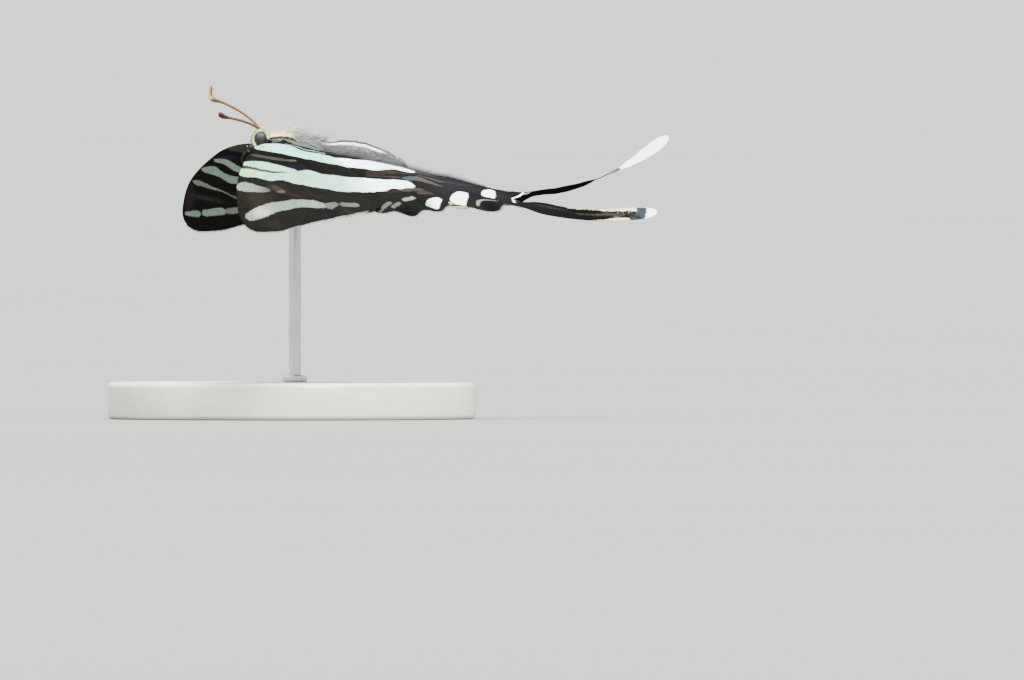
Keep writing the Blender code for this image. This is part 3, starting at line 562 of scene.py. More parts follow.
def tail_marks(side):
    """Pale edges that widen along the tail, a blue-grey twist, and the white end."""
    tip = TAIL_TIP_X[side]
    if side == "right":
        thin = [(12.0, 54.9), (14.6, 54.2), (17.2, 54.9), (17.2, 57.4), (12.0, 57.4)]
        end = [(12.0, 57.2), (14.6, 56.2), (17.2, 57.2), (17.2, tip + 1), (12.0, tip + 1)]
        return [(patch, ROOT_GREY, thin), (patch, WHITE, end)]
    inner = [
        (43.3, 1.25, 0.14), (44.4, 1.25, 0.02), (45.2, 1.25, 0.2), (46.2, 1.25, 0.06), (47.0, 1.25, 0.16),
        (48.2, 1.25, 0.14), (49.2, 1.15, 0.3), (53.0, 1.05, 0.36), (55.6, 0.9, 0.42),
    ]
    outer = [(46.5, 1.3, 0.05), (49.2, 1.15, 0.22), (51.4, 1.05, 0.38), (53.2, 1.1, 0.22)]
    streak = [(37.6, -0.9, 0.1), (40.0, -0.6, 0.3), (43.0, -0.6, 0.15)]
    pink = [(44.6, 0, 0.1), (47.0, 0, 0.12), (50.0, -0.1, 0.32), (52.6, 0, 0.2)]
    steel = [(53.2, -0.1, 0.25), (54.2, 0.5, 0.5), (55.0, 1.0, 0.3)]
    across = [(12.4, tip - 1.1), (14.6, tip - 1.7), (16.8, tip - 2.1)]
    twist = [(12.4, 55.2), (14.6, 54.3), (16.8, 53.2)] + across[::-1]
    end = across + [(16.8, tip + 1), (12.4, tip + 1)]

    def along(rows, side=1):
        """Rows (x, distance out from the tail's middle, half width) as a band takes them."""
        return [(TAIL_S + side * out, x, wide) for x, out, wide in rows]

    return [
        (band, TAIL_STREAK, along(streak)), (band, TAIL_PINK, along(pink)),
        (band, TAIL_CREAM, along(inner, -1)), (band, TAIL_CREAM, along(outer)), (patch, TAIL_BLUE, twist),
        (band, TAIL_STEEL, along(steel)), (patch, WHITE, end),
    ]


# Wing meshes
GRAIN = 0.27  # between points of a wing's mesh
APART = 0.17  # the least between two of them, times their group's share
STRAY = 0.03  # how far a point of the grid strays
EDGE_ROOM = 0.12  # kept free inside the outline
ROW_STEP = 0.87  # of the grain, from one row of the grid to the next
VEIN_FOOT, VEIN_RISE = 0.16, 0.05  # half width and height of a raised vein
VEIN_SHADE = 0.22  # how far from its middle a vein's colour reaches
PLEAT, RIPPLE = 0.07, 0.05  # how deep the membrane lies between veins, and how high it waves
RIM_SHARE = 0.35  # of the membrane's thickness, left at its rim
BAKE_SHIFT = [1, 15.5]  # mm between the bake map's corner and the flat wing's zero
BAKE_SCALE = [0.0108, 0.0120]  # the bake map's width and height for a mm of wing
RIM_STRIP = [0, 0.985], 0.01  # where the rims' strip starts on the bake map, and its height


def keep_apart(groups):
    """Rows of all groups, each at least its group's share of APART from those already kept."""
    kept = []
    taken = {}
    for group, share in groups:
        reach = APART * share
        for p in group:
            i, j = int(p[0] // APART), int(p[1] // APART)
            cells = [(a, b) for a in (i - 1, i, i + 1) for b in (j - 1, j, j + 1)]
            near = [q for cell in cells for q in taken.get(cell, ())]
            if all((p[0] - q[0]) ** 2 + (p[1] - q[1]) ** 2 >= reach * reach for q in near):
                kept.append((float(p[0]), float(p[1])))
                taken.setdefault((i, j), []).append(kept[-1])
    return kept


def flat_wing(outline, veins):
    """Points and triangles of a wing laid flat: an even grain inside, with rows along its veins."""
    loop = smooth(outline, GRAIN)
    crest, feet = [], []
    for vein in veins:
        path = smooth(vein, GRAIN)
        along = unit(np.gradient(path, axis=0))
        across = np.stack([-along[:, 1], along[:, 0]], -1) * VEIN_FOOT
        crest.append(path)
        feet += [path + across, path - across]
    low, high = loop.min(0), loop.max(0)
    columns = np.arange(low[0], high[0], GRAIN)
    xs, ys = np.meshgrid(columns, np.arange(low[1], high[1], GRAIN * ROW_STEP))
    xs[1::2] += GRAIN / 2
    grid = np.stack([xs.ravel(), ys.ravel()], -1)
    grid += rng.uniform(-STRAY, STRAY, grid.shape)

    def well_inside(points):
        points = points[is_inside(points, loop)]
        return points[path_distance(points, closed(loop)) > EDGE_ROOM]

    groups = [(loop, 0.3), (well_inside(np.vstack(crest)), 0.75), (well_inside(np.vstack(feet)), 0.7)]
    groups.append((well_inside(grid), 0.95))
    first = len(keep_apart(groups[:1]))
    points = [Vector(p) for p in keep_apart(groups)]
    edges = [(i, (i + 1) % first) for i in range(first)]
    flat, _, faces = delaunay_2d_cdt(points, edges, [list(range(first))], 1, 1e-6)[:3]
    return np.array([list(p) for p in flat]), np.array(faces)


def outer_edges(faces):
    """The directed edges that only one triangle has."""
    pairs = np.concatenate([faces[:, [0, 1]], faces[:, [1, 2]], faces[:, [2, 0]]])
    found = set(map(tuple, pairs))
    return [(a, b) for a, b in found if (b, a) not in found]


def add_object(name, data):
    made = bpy.data.objects.new(name, data)
    bpy.context.scene.collection.objects.link(made)
    return made


def add_form(name, points, faces, material, scale=MM):
    """An object of smooth faces, from points in mm, or in metres at a scale of 1."""
    mesh = bpy.data.meshes.new(name)
    mesh.from_pydata((np.asarray(points) * scale).tolist(), [], [list(map(int, f)) for f in faces])
    mesh.validate()
    mesh.shade_smooth()
    mesh.materials.append(material)
    return add_object(name, mesh)


def add_piece(name, points, faces, material):
    """A form that rides on the one body."""
    piece = add_form(name, points, faces, material)
    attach(piece, "root")
    return piece


def set_field(piece, name, values):
    """A point attribute of one, three or four numbers a point."""
    values = np.asarray(values, np.float32)
    if values.ndim == 1:
        layer, key = piece.data.attributes.new(name, "FLOAT", "POINT"), "value"
    elif name in ("sheet", "place"):
        layer, key = piece.data.attributes.new(name, "FLOAT_VECTOR", "POINT"), "vector"
    else:
        values = np.concatenate([values, np.ones((len(values), 1), np.float32)], 1)
        layer, key = piece.data.attributes.new(name, "FLOAT_COLOR", "POINT"), "color"
    layer.data.foreach_set(key, values.ravel())


def flat_uv(flat, under):
    """Places of flat wing points on the bake map: upper faces on its left half, under ones right."""
    return (flat + BAKE_SHIFT) * BAKE_SCALE + [0.5 * under + 0.005, 0]


def add_wing(kind, side):
    """A thin scaled membrane with raised veins, painted on both faces."""
    hind = kind == "hindwing"
    outline, veins = wing_plan(hind, side)
    flat, faces = flat_wing(outline, veins)
    count = len(flat)
    vein_gap = np.min([path_distance(flat, smooth(vein, 0.6)) for vein in veins], axis=0)
    rim = path_distance(flat, closed(smooth(outline, 0.6)))
    reach = ramp(rim, 0.1, 1.2)
    rise = VEIN_RISE * np.maximum(1 - vein_gap / VEIN_FOOT, 0) * reach
    pleat = -PLEAT * ramp(vein_gap, 0.1, 1.6) * reach
    ripple = RIPPLE * np.sin(flat[:, 0] * 1.1 + flat[:, 1] * 0.6) * ramp(rim, 0.0, 3.0)
    middle = (-LAYER if hind else LAYER) + pleat + ripple
    half = HALF_THICK * (RIM_SHARE + (1 - RIM_SHARE) * reach) + rise
    top = sheet_point(side, flat, middle + half, hind)
    bottom = sheet_point(side, flat, middle - half, hind)
    rims = outer_edges(faces)
    if side == "left":
        faces = faces[:, ::-1]
        rims = [(b, a) for a, b in rims]
    quads = [(b, a, a + count, b + count) for a, b in rims]
    every = faces.tolist() + (faces[:, ::-1] + count).tolist() + quads
    piece = add_piece(kind + "_scaled_" + side, np.vstack([top, bottom]), every, WING)
    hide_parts(kind + "_" + side)

    if hind:
        upper = paint(flat, HIND_UPPER + tail_marks(side), GROUND, HIND_CLOUDS, HIND_TINTS)
        under = paint(flat, HIND_UNDER + tail_marks(side), UNDER_GROUND, HIND_CLOUDS, [])
    else:
        upper = paint(flat, FORE_UPPER, GROUND, FORE_CLOUDS, FORE_TINTS)
        under = paint(flat, FORE_UNDER, UNDER_GROUND, FORE_UNDER_CLOUDS, [])
    for name, above, below in zip(("mark", "tone", "ground"), upper, under):
        set_field(piece, name, np.concatenate([above, below]))
    set_field(piece, "vein", np.tile(np.clip(1 - vein_gap / VEIN_SHADE, 0, 1), 2))
    level = np.repeat([[0.0], [9.0]], count, axis=0)
    set_field(piece, "sheet", np.concatenate([np.tile(flat, (2, 1)), level], 1))
    set_bake_map(piece, np.concatenate([flat_uv(flat, 0), flat_uv(flat, 1)]), len(quads))


def set_bake_map(piece, places, strips):
    """Points take their own places on the bake map, and the last quads, a wing's rim, a strip."""
    mesh = piece.data
    layer = mesh.uv_layers.new(name="OFBake")
    corner = np.zeros(len(mesh.loops), np.int32)
    mesh.loops.foreach_get("vertex_index", corner)
    uv = places[corner]
    across = np.array([[0, 0], [1, 0], [1, 1], [0, 1]])
    start, high = RIM_STRIP
    for i in range(strips):
        first = len(corner) - 4 * (strips - i)
        uv[first:first + 4] = start + (across + [i, 0]) * [1 / strips, high]
    layer.data.foreach_set("uv", uv.astype(np.float32).ravel())


# Materials
def new_material(name, rough, **sockets):
    """A Principled material, a maker of nodes in it, and a way to link them to its shader's sockets."""
    made = bpy.data.materials.new(name)
    made.use_nodes = True
    tree = made.node_tree
    shader = tree.nodes["Principled BSDF"]
    shader.inputs["Roughness"].default_value = rough
    for socket, value in sockets.items():
        shader.inputs[socket.replace("_", " ")].default_value = value

    def node(kind, settings=None, **links):
        new = tree.nodes.new(kind)
        for key, value in (settings or {}).items():
            if key in new.inputs:
                new.inputs[key].default_value = value
            else:
                setattr(new, key, value)
        for key, source in links.items():
            tree.links.new(source, new.inputs[key])
        return new

    def wire(**links):
        for socket, source in links.items():
            tree.links.new(source, shader.inputs[socket.replace("_", " ")])

    return made, node, wire


def field(node, name, output="Fac"):
    return node("ShaderNodeAttribute", {"attribute_name": name}).outputs[output]


def noise(node, scale, detail, place):
    return node("ShaderNodeTexNoise", {"Scale": scale, "Detail": detail}, Vector=place).outputs["Fac"]


def stretched(node, place, scale):
    """A place with its axes stretched."""
    return node("ShaderNodeMapping", {"Scale": scale}, Vector=place).outputs[0]


def math_node(node, operation, *values):
    """A Math node; each value is a socket or a number."""
    made = node("ShaderNodeMath", {"operation": operation})
    for i, value in enumerate(values):
        if isinstance(value, (int, float)):
            made.inputs[i].default_value = value
        else:
            made.id_data.links.new(value, made.inputs[i])
    return made.outputs[0]


def mix_colour(node, factor, a, b, blend="MIX"):
    """A colour Mix node; each input is a socket, a number or a colour."""
    made = node("ShaderNodeMix", {"data_type": "RGBA", "blend_type": blend})
    for i, value in ((0, factor), (6, a), (7, b)):
        if isinstance(value, bpy.types.NodeSocket):
            made.id_data.links.new(value, made.inputs[i])
        else:
            made.inputs[i].default_value = value if i == 0 else (*value, 1)
    return made.outputs[2]


def shaded_by(node, tone, red, green, blue):
    """A colour with each of its parts made lighter or darker."""
    shades = node("ShaderNodeCombineColor", Red=red, Green=green, Blue=blue).outputs[0]
    return mix_colour(node, 1.0, tone, shades, "MULTIPLY")


def ranged(node, value, low, high, to_low=0.0, to_high=1.0):
    settings = {"From Min": low, "From Max": high, "To Min": to_low, "To Max": to_high}
    return node("ShaderNodeMapRange", settings, Value=value).outputs[0]


def bump(node, height, strength, distance):
    return node("ShaderNodeBump", {"Strength": strength, "Distance": distance}, Height=height).outputs[0]


SCALES_PER_MM = (5.0, 8.0, 1.0)


def wing_material():
    """Scales in rows, each with its own shade, pale where a mark is and dark on the ground."""
    made, node, wire = new_material("wing_scales", 0.5, Specular_IOR_Level=0.0)
    sheet = field(node, "sheet", "Vector")
    rows = stretched(node, sheet, SCALES_PER_MM)
    scales = node("ShaderNodeTexVoronoi", {"Scale": 1.0, "Randomness": 0.7}, Vector=rows)
    chance = node("ShaderNodeSeparateColor", Color=scales.outputs["Color"])
    jitter = math_node(node, "MULTIPLY_ADD", chance.outputs[0], 0.2, -0.1)
    waver = math_node(node, "MULTIPLY_ADD", noise(node, 4.0, 2.0, sheet), 0.5, -0.25)
    edge = math_node(node, "ADD", math_node(node, "ADD", field(node, "mark"), jitter), waver)
    covered = ranged(node, edge, -0.06, 0.08)
    tone = mix_colour(node, covered, field(node, "ground", "Color"), field(node, "tone", "Color"))
    vein = math_node(node, "MULTIPLY", field(node, "vein"), 0.13)
    tone = mix_colour(node, vein, tone, seen(92, 88, 78))
    stray = math_node(node, "MULTIPLY", math_node(node, "GREATER_THAN", chance.outputs[2], 0.99), 0.5)
    tone = mix_colour(node, stray, tone, seen(86, 86, 78))
    each = ranged(node, chance.outputs[1], 0, 1, 0.84, 1.12)
    wide = ranged(node, noise(node, 0.9, 3.0, sheet), 0.3, 0.7, 0.90, 1.08)
    shade = math_node(node, "MULTIPLY", each, wide)
    drift = noise(node, 0.45, 2.0, sheet)
    warm = math_node(node, "MULTIPLY", shade, ranged(node, drift, 0.35, 0.65, 0.93, 1.05))
    cool = math_node(node, "MULTIPLY", shade, ranged(node, drift, 0.35, 0.65, 1.05, 0.94))
    rough = ranged(node, chance.outputs[1], 0, 1, 0.44, 0.62)
    height = math_node(node, "SUBTRACT", 1.0, scales.outputs["Distance"])
    wire(Base_Color=shaded_by(node, tone, warm, shade, cool), Roughness=rough,
         Normal=bump(node, height, 0.35, 0.00003))
    return made


def coat_material(name, rough):
    """Skin or hair: its colour comes with the mesh, broken up by fine noise."""
    made, node, wire = new_material(name, rough, Specular_IOR_Level=0.1)
    fine = noise(node, 9.0, 3.0, field(node, "place", "Vector"))
    shade = ranged(node, fine, 0.3, 0.7, 0.72, 1.2)
    tone = shaded_by(node, field(node, "tone", "Color"), shade, shade, shade)
    wire(Base_Color=tone, Normal=bump(node, fine, 0.5, 0.00004))
    return made


def eye_material():
    """Many small facets, dark slate with a paler bloom."""
    made, node, wire = new_material("eye_facets", 0.38, Specular_IOR_Level=0.3)
    place = field(node, "place", "Vector")
    cells = node("ShaderNodeTexVoronoi", {"Scale": 16.0, "Randomness": 0.25}, Vector=place)
    facets = cells.outputs["Distance"]
    slate, pale, seam = (seen(*tone, SIDE_LIGHT) for tone in ((58, 56, 70), (92, 90, 104), (40, 38, 48)))
    tone = mix_colour(node, ranged(node, noise(node, 1.4, 2.0, place), 0.42, 0.62), slate, pale)
    between = math_node(node, "MULTIPLY", ranged(node, facets, 0.1, 0.6), 0.4)
    tone = mix_colour(node, between, tone, seam)
    wire(Base_Color=tone, Normal=bump(node, math_node(node, "SUBTRACT", 1.0, facets), 0.6, 0.00004))
    return made


def ringed_material(name, rough, rings):
    """A feeler or tongue: rings across it, in the colours that come with the mesh."""
    made, node, wire = new_material(name, rough, Specular_IOR_Level=0.12)
    wave = math_node(node, "SINE", math_node(node, "MULTIPLY", field(node, "along"), rings * 2 * math.pi))
    fine = noise(node, 7.0, 3.0, field(node, "place", "Vector"))
    mottle, ring = ranged(node, fine, 0.3, 0.7, 0.8, 1.15), ranged(node, wave, -1, 1, 0.75, 1.1)
    shade = math_node(node, "MULTIPLY", mottle, ring)
    tone = shaded_by(node, field(node, "tone", "Color"), shade, shade, shade)
    wire(Base_Color=tone, Normal=bump(node, math_node(node, "ADD", wave, fine), 0.4, 0.00003))
    return made


def lacquer_material():
    """The base's satin paint, with the faintest grain under it."""
    made, node, wire = new_material("base_lacquer", 0.42, Specular_IOR_Level=0.4)
    place = node("ShaderNodeTexCoord").outputs["Object"]
    grain = noise(node, 1.0, 5.0, stretched(node, place, (60.0, 900.0, 900.0)))
    cloud = noise(node, 70.0, 3.0, place)
    tone = mix_colour(node, ranged(node, grain, 0.35, 0.65), rgb(206, 202, 192), rgb(216, 212, 203))
    tone = mix_colour(node, ranged(node, cloud, 0.4, 0.6, 0.0, 0.35), tone, rgb(198, 193, 182))
    rough = ranged(node, cloud, 0.3, 0.7, 0.36, 0.5)
    wire(Base_Color=tone, Roughness=rough, Normal=bump(node, grain, 0.12, 0.0001))
    return made


def steel_material():
    """Brushed steel, with the brush marks along the rod."""
    made, node, wire = new_material("rod_steel", 0.3, Metallic=1.0)
    place = node("ShaderNodeTexCoord").outputs["Object"]
    brush = noise(node, 1.0, 4.0, stretched(node, place, (9000.0, 9000.0, 120.0)))
    tone = mix_colour(node, ranged(node, brush, 0.35, 0.65), rgb(176, 178, 180), rgb(206, 207, 208))
    rough = ranged(node, brush, 0.3, 0.7, 0.24, 0.42)
    wire(Base_Color=tone, Roughness=rough, Normal=bump(node, brush, 0.15, 0.00002))
    return made


# The body, in its own line: x towards the tail from the hinges, y outward, z up
TILT = math.atan(FALL)
HEAD = np.array([-5.3, 0.0, -0.5])
EYE_AT = np.array([-5.35, 0.9, -0.4])
EYE_RADII = (1.15, 0.95, 1.28)
ORBIT, ORBIT_TUBE = (1.22, 1.38), 0.22  # radii of the ring round an eye, and of the tube that it is
THORAX_FRONT, THORAX_REAR = -3.65, 4.55
ABDOMEN_FRONT, ABDOMEN_TIP = 4.85, 19.0
# How far the abdomen's middle line rises: (share of its length, mm)
ABDOMEN_HUMP = [(0, 0.1), (0.32, 0.45), (0.5, 0.6), (0.7, 0.32), (0.88, 0.1), (1, 0.05)]
# And its half width, from a little way inside the thorax
ABDOMEN_WIDTH = [(-0.1, 1.0), (0, 1.1), (0.35, 1.85), (0.7, 1.6), (0.92, 0.98), (1, 0.4)]
SEGMENTS, RINGS_EACH, BULGE = 7, 10, 0.055  # of the abdomen; a segment swells by this share
SKIN_GRAIN = 0.1  # between points of the body's skin


def to_world(points):
    points = np.atleast_2d(points)
    cos, sin = math.cos(TILT), math.sin(TILT)
    x = points[:, 0] * cos + points[:, 2] * sin
    z = HINGE_HEIGHT - points[:, 0] * sin + points[:, 2] * cos
    return np.stack([x, points[:, 1], z], -1)


def ring_faces(rings, sides):
    """Faces of equal rings of points one after another, closed at both ends."""
    faces = []
    for i in range(rings - 1):
        for k in range(sides):
            a, b = i * sides + k, i * sides + (k + 1) % sides
            faces.append((a, b, b + sides, a + sides))
    return faces + [tuple(range(sides))[::-1], tuple(range((rings - 1) * sides, rings * sides))]


def add_faces(bm, rows, faces):
    points = [bm.verts.new(row) for row in rows]
    for face in faces:
        bm.faces.new([points[i] for i in face])


def add_loft(bm, stations, sides):
    """A closed form through rings (x, centre height, half width, reach up, reach down)."""
    rows = []
    for x, centre, half, up, down in stations:
        for angle in turns(sides):
            height = (up if math.sin(angle) > 0 else down) * math.sin(angle)
            rows.append((x, half * math.cos(angle), centre + height))
    add_faces(bm, rows, ring_faces(len(stations), sides))


def add_ball(bm, radii, centre, tilt=0.0):
    place = Matrix.Translation(centre) @ Matrix.Rotation(tilt, 4, "Y") @ Matrix.Diagonal((*radii, 1))
    bmesh.ops.create_uvsphere(bm, u_segments=32, v_segments=20, radius=1, matrix=place)


def tube_rings(points, radii, sides):
    """Points and faces of a round tube with closed ends, and each point's share of its length."""
    points = np.asarray(points, float)
    along = unit(np.gradient(points, axis=0))
    side = unit(np.cross(along[0], [0.3, 0.2, 0.9]))
    rows = []
    for point, way, radius in zip(points, along, radii):
        side = unit(side - way * (side @ way))
        other = np.cross(way, side)
        rows += [point + radius * (side * math.cos(t) + other * math.sin(t)) for t in turns(sides)]
    shares = np.repeat(np.arange(len(points)) / (len(points) - 1), sides)
    return np.array(rows), ring_faces(len(points), sides), shares


def add_tube(bm, path, radii, sides):
    add_faces(bm, *tube_rings(path, radii, sides)[:2])


# A leg's place along the thorax and the height of its underside there
LEG_ROOTS = {"front": (-1.7, -2.3), "mid": (0.6, -2.75), "hind": (2.5, -2.45)}
# A leg's joints from its root: towards the tail, outward, up
LEG_SHAPES = {
    "front": [(-0.7, 0.3, -0.9), (-2.3, 1.0, -1.1), (-1.2, 1.5, -2.5), (1.2, 1.3, -3.1), (3.0, 1.1, -3.3)],
    "mid": [(0.2, 0.6, -0.9), (0.0, 2.4, -1.3), (1.9, 2.6, -2.0), (4.4, 2.0, -2.3), (6.4, 1.6, -2.5)],
    "hind": [(0.7, 0.3, -0.8), (3.0, 0.9, -0.9), (5.8, 0.9, -1.5), (8.2, 0.7, -2.2), (10.4, 0.5, -2.7)],
}
LEG_Y = 1.75
LEG_INSET = (0.3, 0.5)  # how far a leg starts inside the thorax, inward and up
# A leg's radius at shares of its length: coxa, thigh, knee, shin, and the foot's five joints
LEG_RADII = [(0, 0.42), (0.16, 0.26), (0.3, 0.33), (0.42, 0.22), (0.46, 0.26), (0.62, 0.17), (1, 0.15)]


def leg_path(pair, sign):
    """A leg's middle line, from a point inside the thorax."""
    inward, raised = LEG_INSET
    root_x, root_z = LEG_ROOTS[pair][0], LEG_ROOTS[pair][1] + raised
    rows = [(root_x, sign * (LEG_Y - inward), root_z)]
    rows += [(x + root_x, sign * (LEG_Y + y), z - raised + root_z) for x, y, z in LEG_SHAPES[pair]]
    return smooth(rows, 0.25)


def body_skin():
    """Head, thorax, abdomen, palps and legs in one closed skin, in the body's own mm."""
    bm = bmesh.new()
    thorax = [
        (THORAX_FRONT - 0.3, -0.25, 0.9, 0.95, 1.0), (-2.6, -0.1, 1.7, 1.35, 1.85),
        (-0.8, 0.0, 2.2, 1.6, 2.7), (1.2, 0.0, 2.25, 1.6, 2.8), (3.2, 0.1, 1.95, 1.4, 2.25),
        (THORAX_REAR + 0.6, 0.25, 1.25, 1.1, 1.35),
    ]
    add_loft(bm, smooth(thorax, 0.4), 48)
    stations = []
    total = SEGMENTS * RINGS_EACH
    for i in range(-6, total + 1):
        t = i / total
        place = (i % RINGS_EACH) / RINGS_EACH
        bulge = 1 + BULGE * math.sin(math.pi * place) ** 0.7 - 0.03
        half = float(keyed(ABDOMEN_WIDTH, t)) * bulge
        x = ABDOMEN_FRONT + (ABDOMEN_TIP - ABDOMEN_FRONT) * t
        stations.append((x, float(keyed(ABDOMEN_HUMP, t)), half, half * 0.98, half * 0.94))
    add_loft(bm, stations, 48)
    add_loft(bm, [(-4.6, -0.45, 0.8, 0.8, 0.8), (-3.0, -0.25, 0.95, 0.9, 0.9)], 24)  # the neck
    add_ball(bm, (1.33, 1.28, 1.52), HEAD)
    for sign in SIGN.values():
        # A palp, its root and a feeler's root
        add_ball(bm, (0.46, 0.36, 0.75), HEAD + [-1.2, sign * 0.72, -1.75], math.radians(-24))
        add_ball(bm, (0.45, 0.42, 0.5), HEAD + [-0.85, sign * 0.6, -1.2])
        add_ball(bm, (0.3, 0.3, 0.28), HEAD + [-0.2, sign * 0.45, 1.5])
        orbit = []
        for k in range(49):
            angle = 2 * math.pi * k / 48
            round_eye = [ORBIT[0] * math.cos(angle), sign * 0.33, ORBIT[1] * math.sin(angle)]
            orbit.append(EYE_AT * [1, sign, 1] + round_eye)
        add_tube(bm, orbit, [ORBIT_TUBE] * len(orbit), 12)
    for pair in LEG_SHAPES:
        for sign in SIGN.values():
            path = leg_path(pair, sign)
            share = np.linspace(0, 1, len(path))
            radii = keyed(LEG_RADII, share) * (1 + 0.1 * np.sin(share * 60) * (share > 0.62))
            add_tube(bm, path, radii, 12)
            for spread in (-1, 1):
                claw = np.array([[0, 0, 0], [0.25, 0.12 * spread, -0.05], [0.42, 0.2 * spread, -0.22]])
                add_tube(bm, path[-1] + claw, [0.13, 0.1, 0.07], 8)
    bmesh.ops.recalc_face_normals(bm, faces=bm.faces)
    mesh = bpy.data.meshes.new("body_rough")
    bm.to_mesh(mesh)
    bm.free()
    rough = add_object("body_rough", mesh)
    remesh = rough.modifiers.new("one_skin", "REMESH")
    remesh.mode = "VOXEL"
    remesh.voxel_size = SKIN_GRAIN
    even = rough.modifiers.new("even", "SMOOTH")
    even.factor = 0.5
    even.iterations = 5
    made = bpy.data.meshes.new_from_object(rough.evaluated_get(bpy.context.evaluated_depsgraph_get()))
    points = np.zeros(len(made.vertices) * 3)
    made.vertices.foreach_get("co", points)
    faces = [tuple(p.vertices) for p in made.polygons]
    bpy.data.objects.remove(rough, do_unlink=True)
    return points.reshape(-1, 3), faces


# Colours of the body
CREAM_HAIR = seen(232, 236, 210, SIDE_LIGHT)
PINK_HAIR = seen(250, 226, 212, SIDE_LIGHT)
GREEN_CREAM = seen(164, 178, 146, SIDE_LIGHT)
GREY_HAIR = seen(206, 208, 206, SIDE_LIGHT)
DUSTY_HAIR = seen(170, 173, 172, SIDE_LIGHT)
WHITE_HAIR = seen(244, 246, 243, SIDE_LIGHT)
SHADE_HAIR = seen(72, 72, 70, SIDE_LIGHT)
BODY_DARK = seen(50, 48, 54, SIDE_LIGHT)
BODY_VIOLET = seen(104, 104, 122, SIDE_LIGHT)
BODY_WHITE = seen(244, 236, 236, SIDE_LIGHT)
BODY_GREY = seen(172, 175, 175, SIDE_LIGHT)
BODY_BLUE = seen(140, 150, 155, SIDE_LIGHT)
BODY_LINE = seen(92, 90, 90, SIDE_LIGHT)
BELLY = seen(190, 188, 176, SIDE_LIGHT)
PALP_DARK = seen(84, 74, 92, SIDE_LIGHT)
# A painted shadow: the dark line in the gap under the pale shoulder bar
BAR_GAP_SHADOW = seen(56, 46, 40, SIDE_LIGHT)
LEG_CREAM = seen(168, 158, 128, SIDE_LIGHT)
LEG_BROWN = seen(96, 80, 64, SIDE_LIGHT)


# The pale shoulder bar's height along the body
BAR_HEIGHT = [(-3.8, 0.5), (-3.2, 0.8), (-2.0, 1.12), (-0.65, 1.22), (0.2, 0.95), (1.0, 0.5)]


def from_eye(points):
    """How far points lie from the eye's middle, as a share of its ring's radii."""
    return np.hypot((points[:, 0] - EYE_AT[0]) / ORBIT[0], (points[:, 2] - EYE_AT[2]) / ORBIT[1])


def body_tone(points):
    """The colour of skin and coat at points in the body's own mm, alike on both sides."""
    x, y, z = points[:, 0], np.abs(points[:, 1]), points[:, 2]
    tone = np.tile(BODY_DARK, (len(points), 1))

    def lay(colour, weight):
        tone[:] = tone + (colour - tone) * np.clip(weight, 0, 1)[:, None]

    # Thorax: grey hair over the back and rear, two pale bars on the shoulder, and a painted shadow line in
    # the gap under the first bar
    thorax = ramp(x, -3.9, -3.4)
    lay(GREY_HAIR, thorax * ramp(x, -1.4, 0.6) * ramp(z, -1.2, -0.2) * 0.95)
    lay(DUSTY_HAIR, thorax * ramp(-x, -1.0, 0.2) * ramp(z, 1.3, 1.6) * 0.7)
    lay(BELLY, thorax * ramp(-z, 0.9, 1.6) * 0.8)
    bar_height = keyed(BAR_HEIGHT, x)
    in_bar = ramp(x, -4.0, -3.7) * ramp(-x, -1.2, -0.7)
    # Painted shadow along the gap just under the pale bar
    lay(BAR_GAP_SHADOW, in_bar * (1 - ramp(np.abs(z - bar_height + 0.58), 0.12, 0.24)))
    pink = ramp(x, -3.7, -3.2) * ramp(-x, 0.6, 1.8)
    bar_colour = CREAM_HAIR + (PINK_HAIR - CREAM_HAIR) * pink[:, None]
    bar_colour = bar_colour + (GREY_HAIR - bar_colour) * ramp(x, -0.6, 0.5)[:, None]
    lay(bar_colour, in_bar * (1 - ramp(np.abs(z - bar_height), 0.3, 0.42)))
    second = ramp(x, -3.6, -3.2) * ramp(-x, -0.1, 0.4)
    lay(GREEN_CREAM, second * (1 - ramp(np.abs(z - bar_height + 1.0), 0.2, 0.34)))
    # Abdomen: dark above, a white side stripe, grey below with a dark line
    t = np.clip((x - ABDOMEN_FRONT) / (ABDOMEN_TIP - ABDOMEN_FRONT), 0, 1)
    centre = keyed(ABDOMEN_HUMP, t)
    height = np.degrees(np.arctan2(z - centre, np.maximum(y, 1e-3)))
    belly = ramp(x, 4.4, 5.4)
    lay(BODY_GREY, belly * ramp(-height, -36, -28))
    lay(BODY_VIOLET, belly * ramp(height, 54, 60))
    lay(BODY_DARK, belly * ramp(height, 70, 82) * 0.7)
    lay(BODY_LINE, belly * (1 - ramp(np.abs(height + 10), 4, 9)) * 0.35)
    lay(BELLY, belly * ramp(-height, 24, 40) * 0.8)
    lay(BODY_BLUE, belly * ramp(x, 12.0, 15.0) * 0.8)
    lay(BODY_WHITE, belly * (1 - ramp(np.abs(height - 47), 8, 11)) * (1 - ramp(x, 13.8, 15.4)))
    # Head: a cream ring round each eye, dark crown and face, dark palps
    head = 1 - ramp(x, -4.1, -3.7)
    open_part = ramp(x, -5.3, -4.9) * ramp(-z, -0.05, 0.3)
    outer_side = head * ramp(y, 0.5, 0.8)
    lay(CREAM_HAIR, outer_side * (1 - ramp(np.abs(from_eye(points) - 1.0), 0.12, 0.18)) * (1 - open_part))
    lay(GREEN_CREAM, outer_side * ramp(z, 0.7, 0.95) * (1 - ramp(np.abs(x + 4.9), 0.4, 0.9)) * 0.5)
    palp = (1 - ramp(x, -6.3, -5.9)) * (1 - ramp(z, -1.9, -1.6))
    lay(PALP_DARK, palp)
    # Legs: cream, with patches of brown
    legs = ramp(-z, 3.3, 3.5) + ramp(y, 2.6, 2.8)
    lay(LEG_CREAM, legs * (1 - ramp(x, 4.4, 5.0) * ramp(z, -2.5, -1.5)))
    patchy = 0.5 + 0.5 * np.sin(x * 2.4 + y * 3.1)
    lay(LEG_BROWN, legs * ramp(patchy, 0.35, 0.65) * 0.8)
    return np.clip(tone, 0, 1)


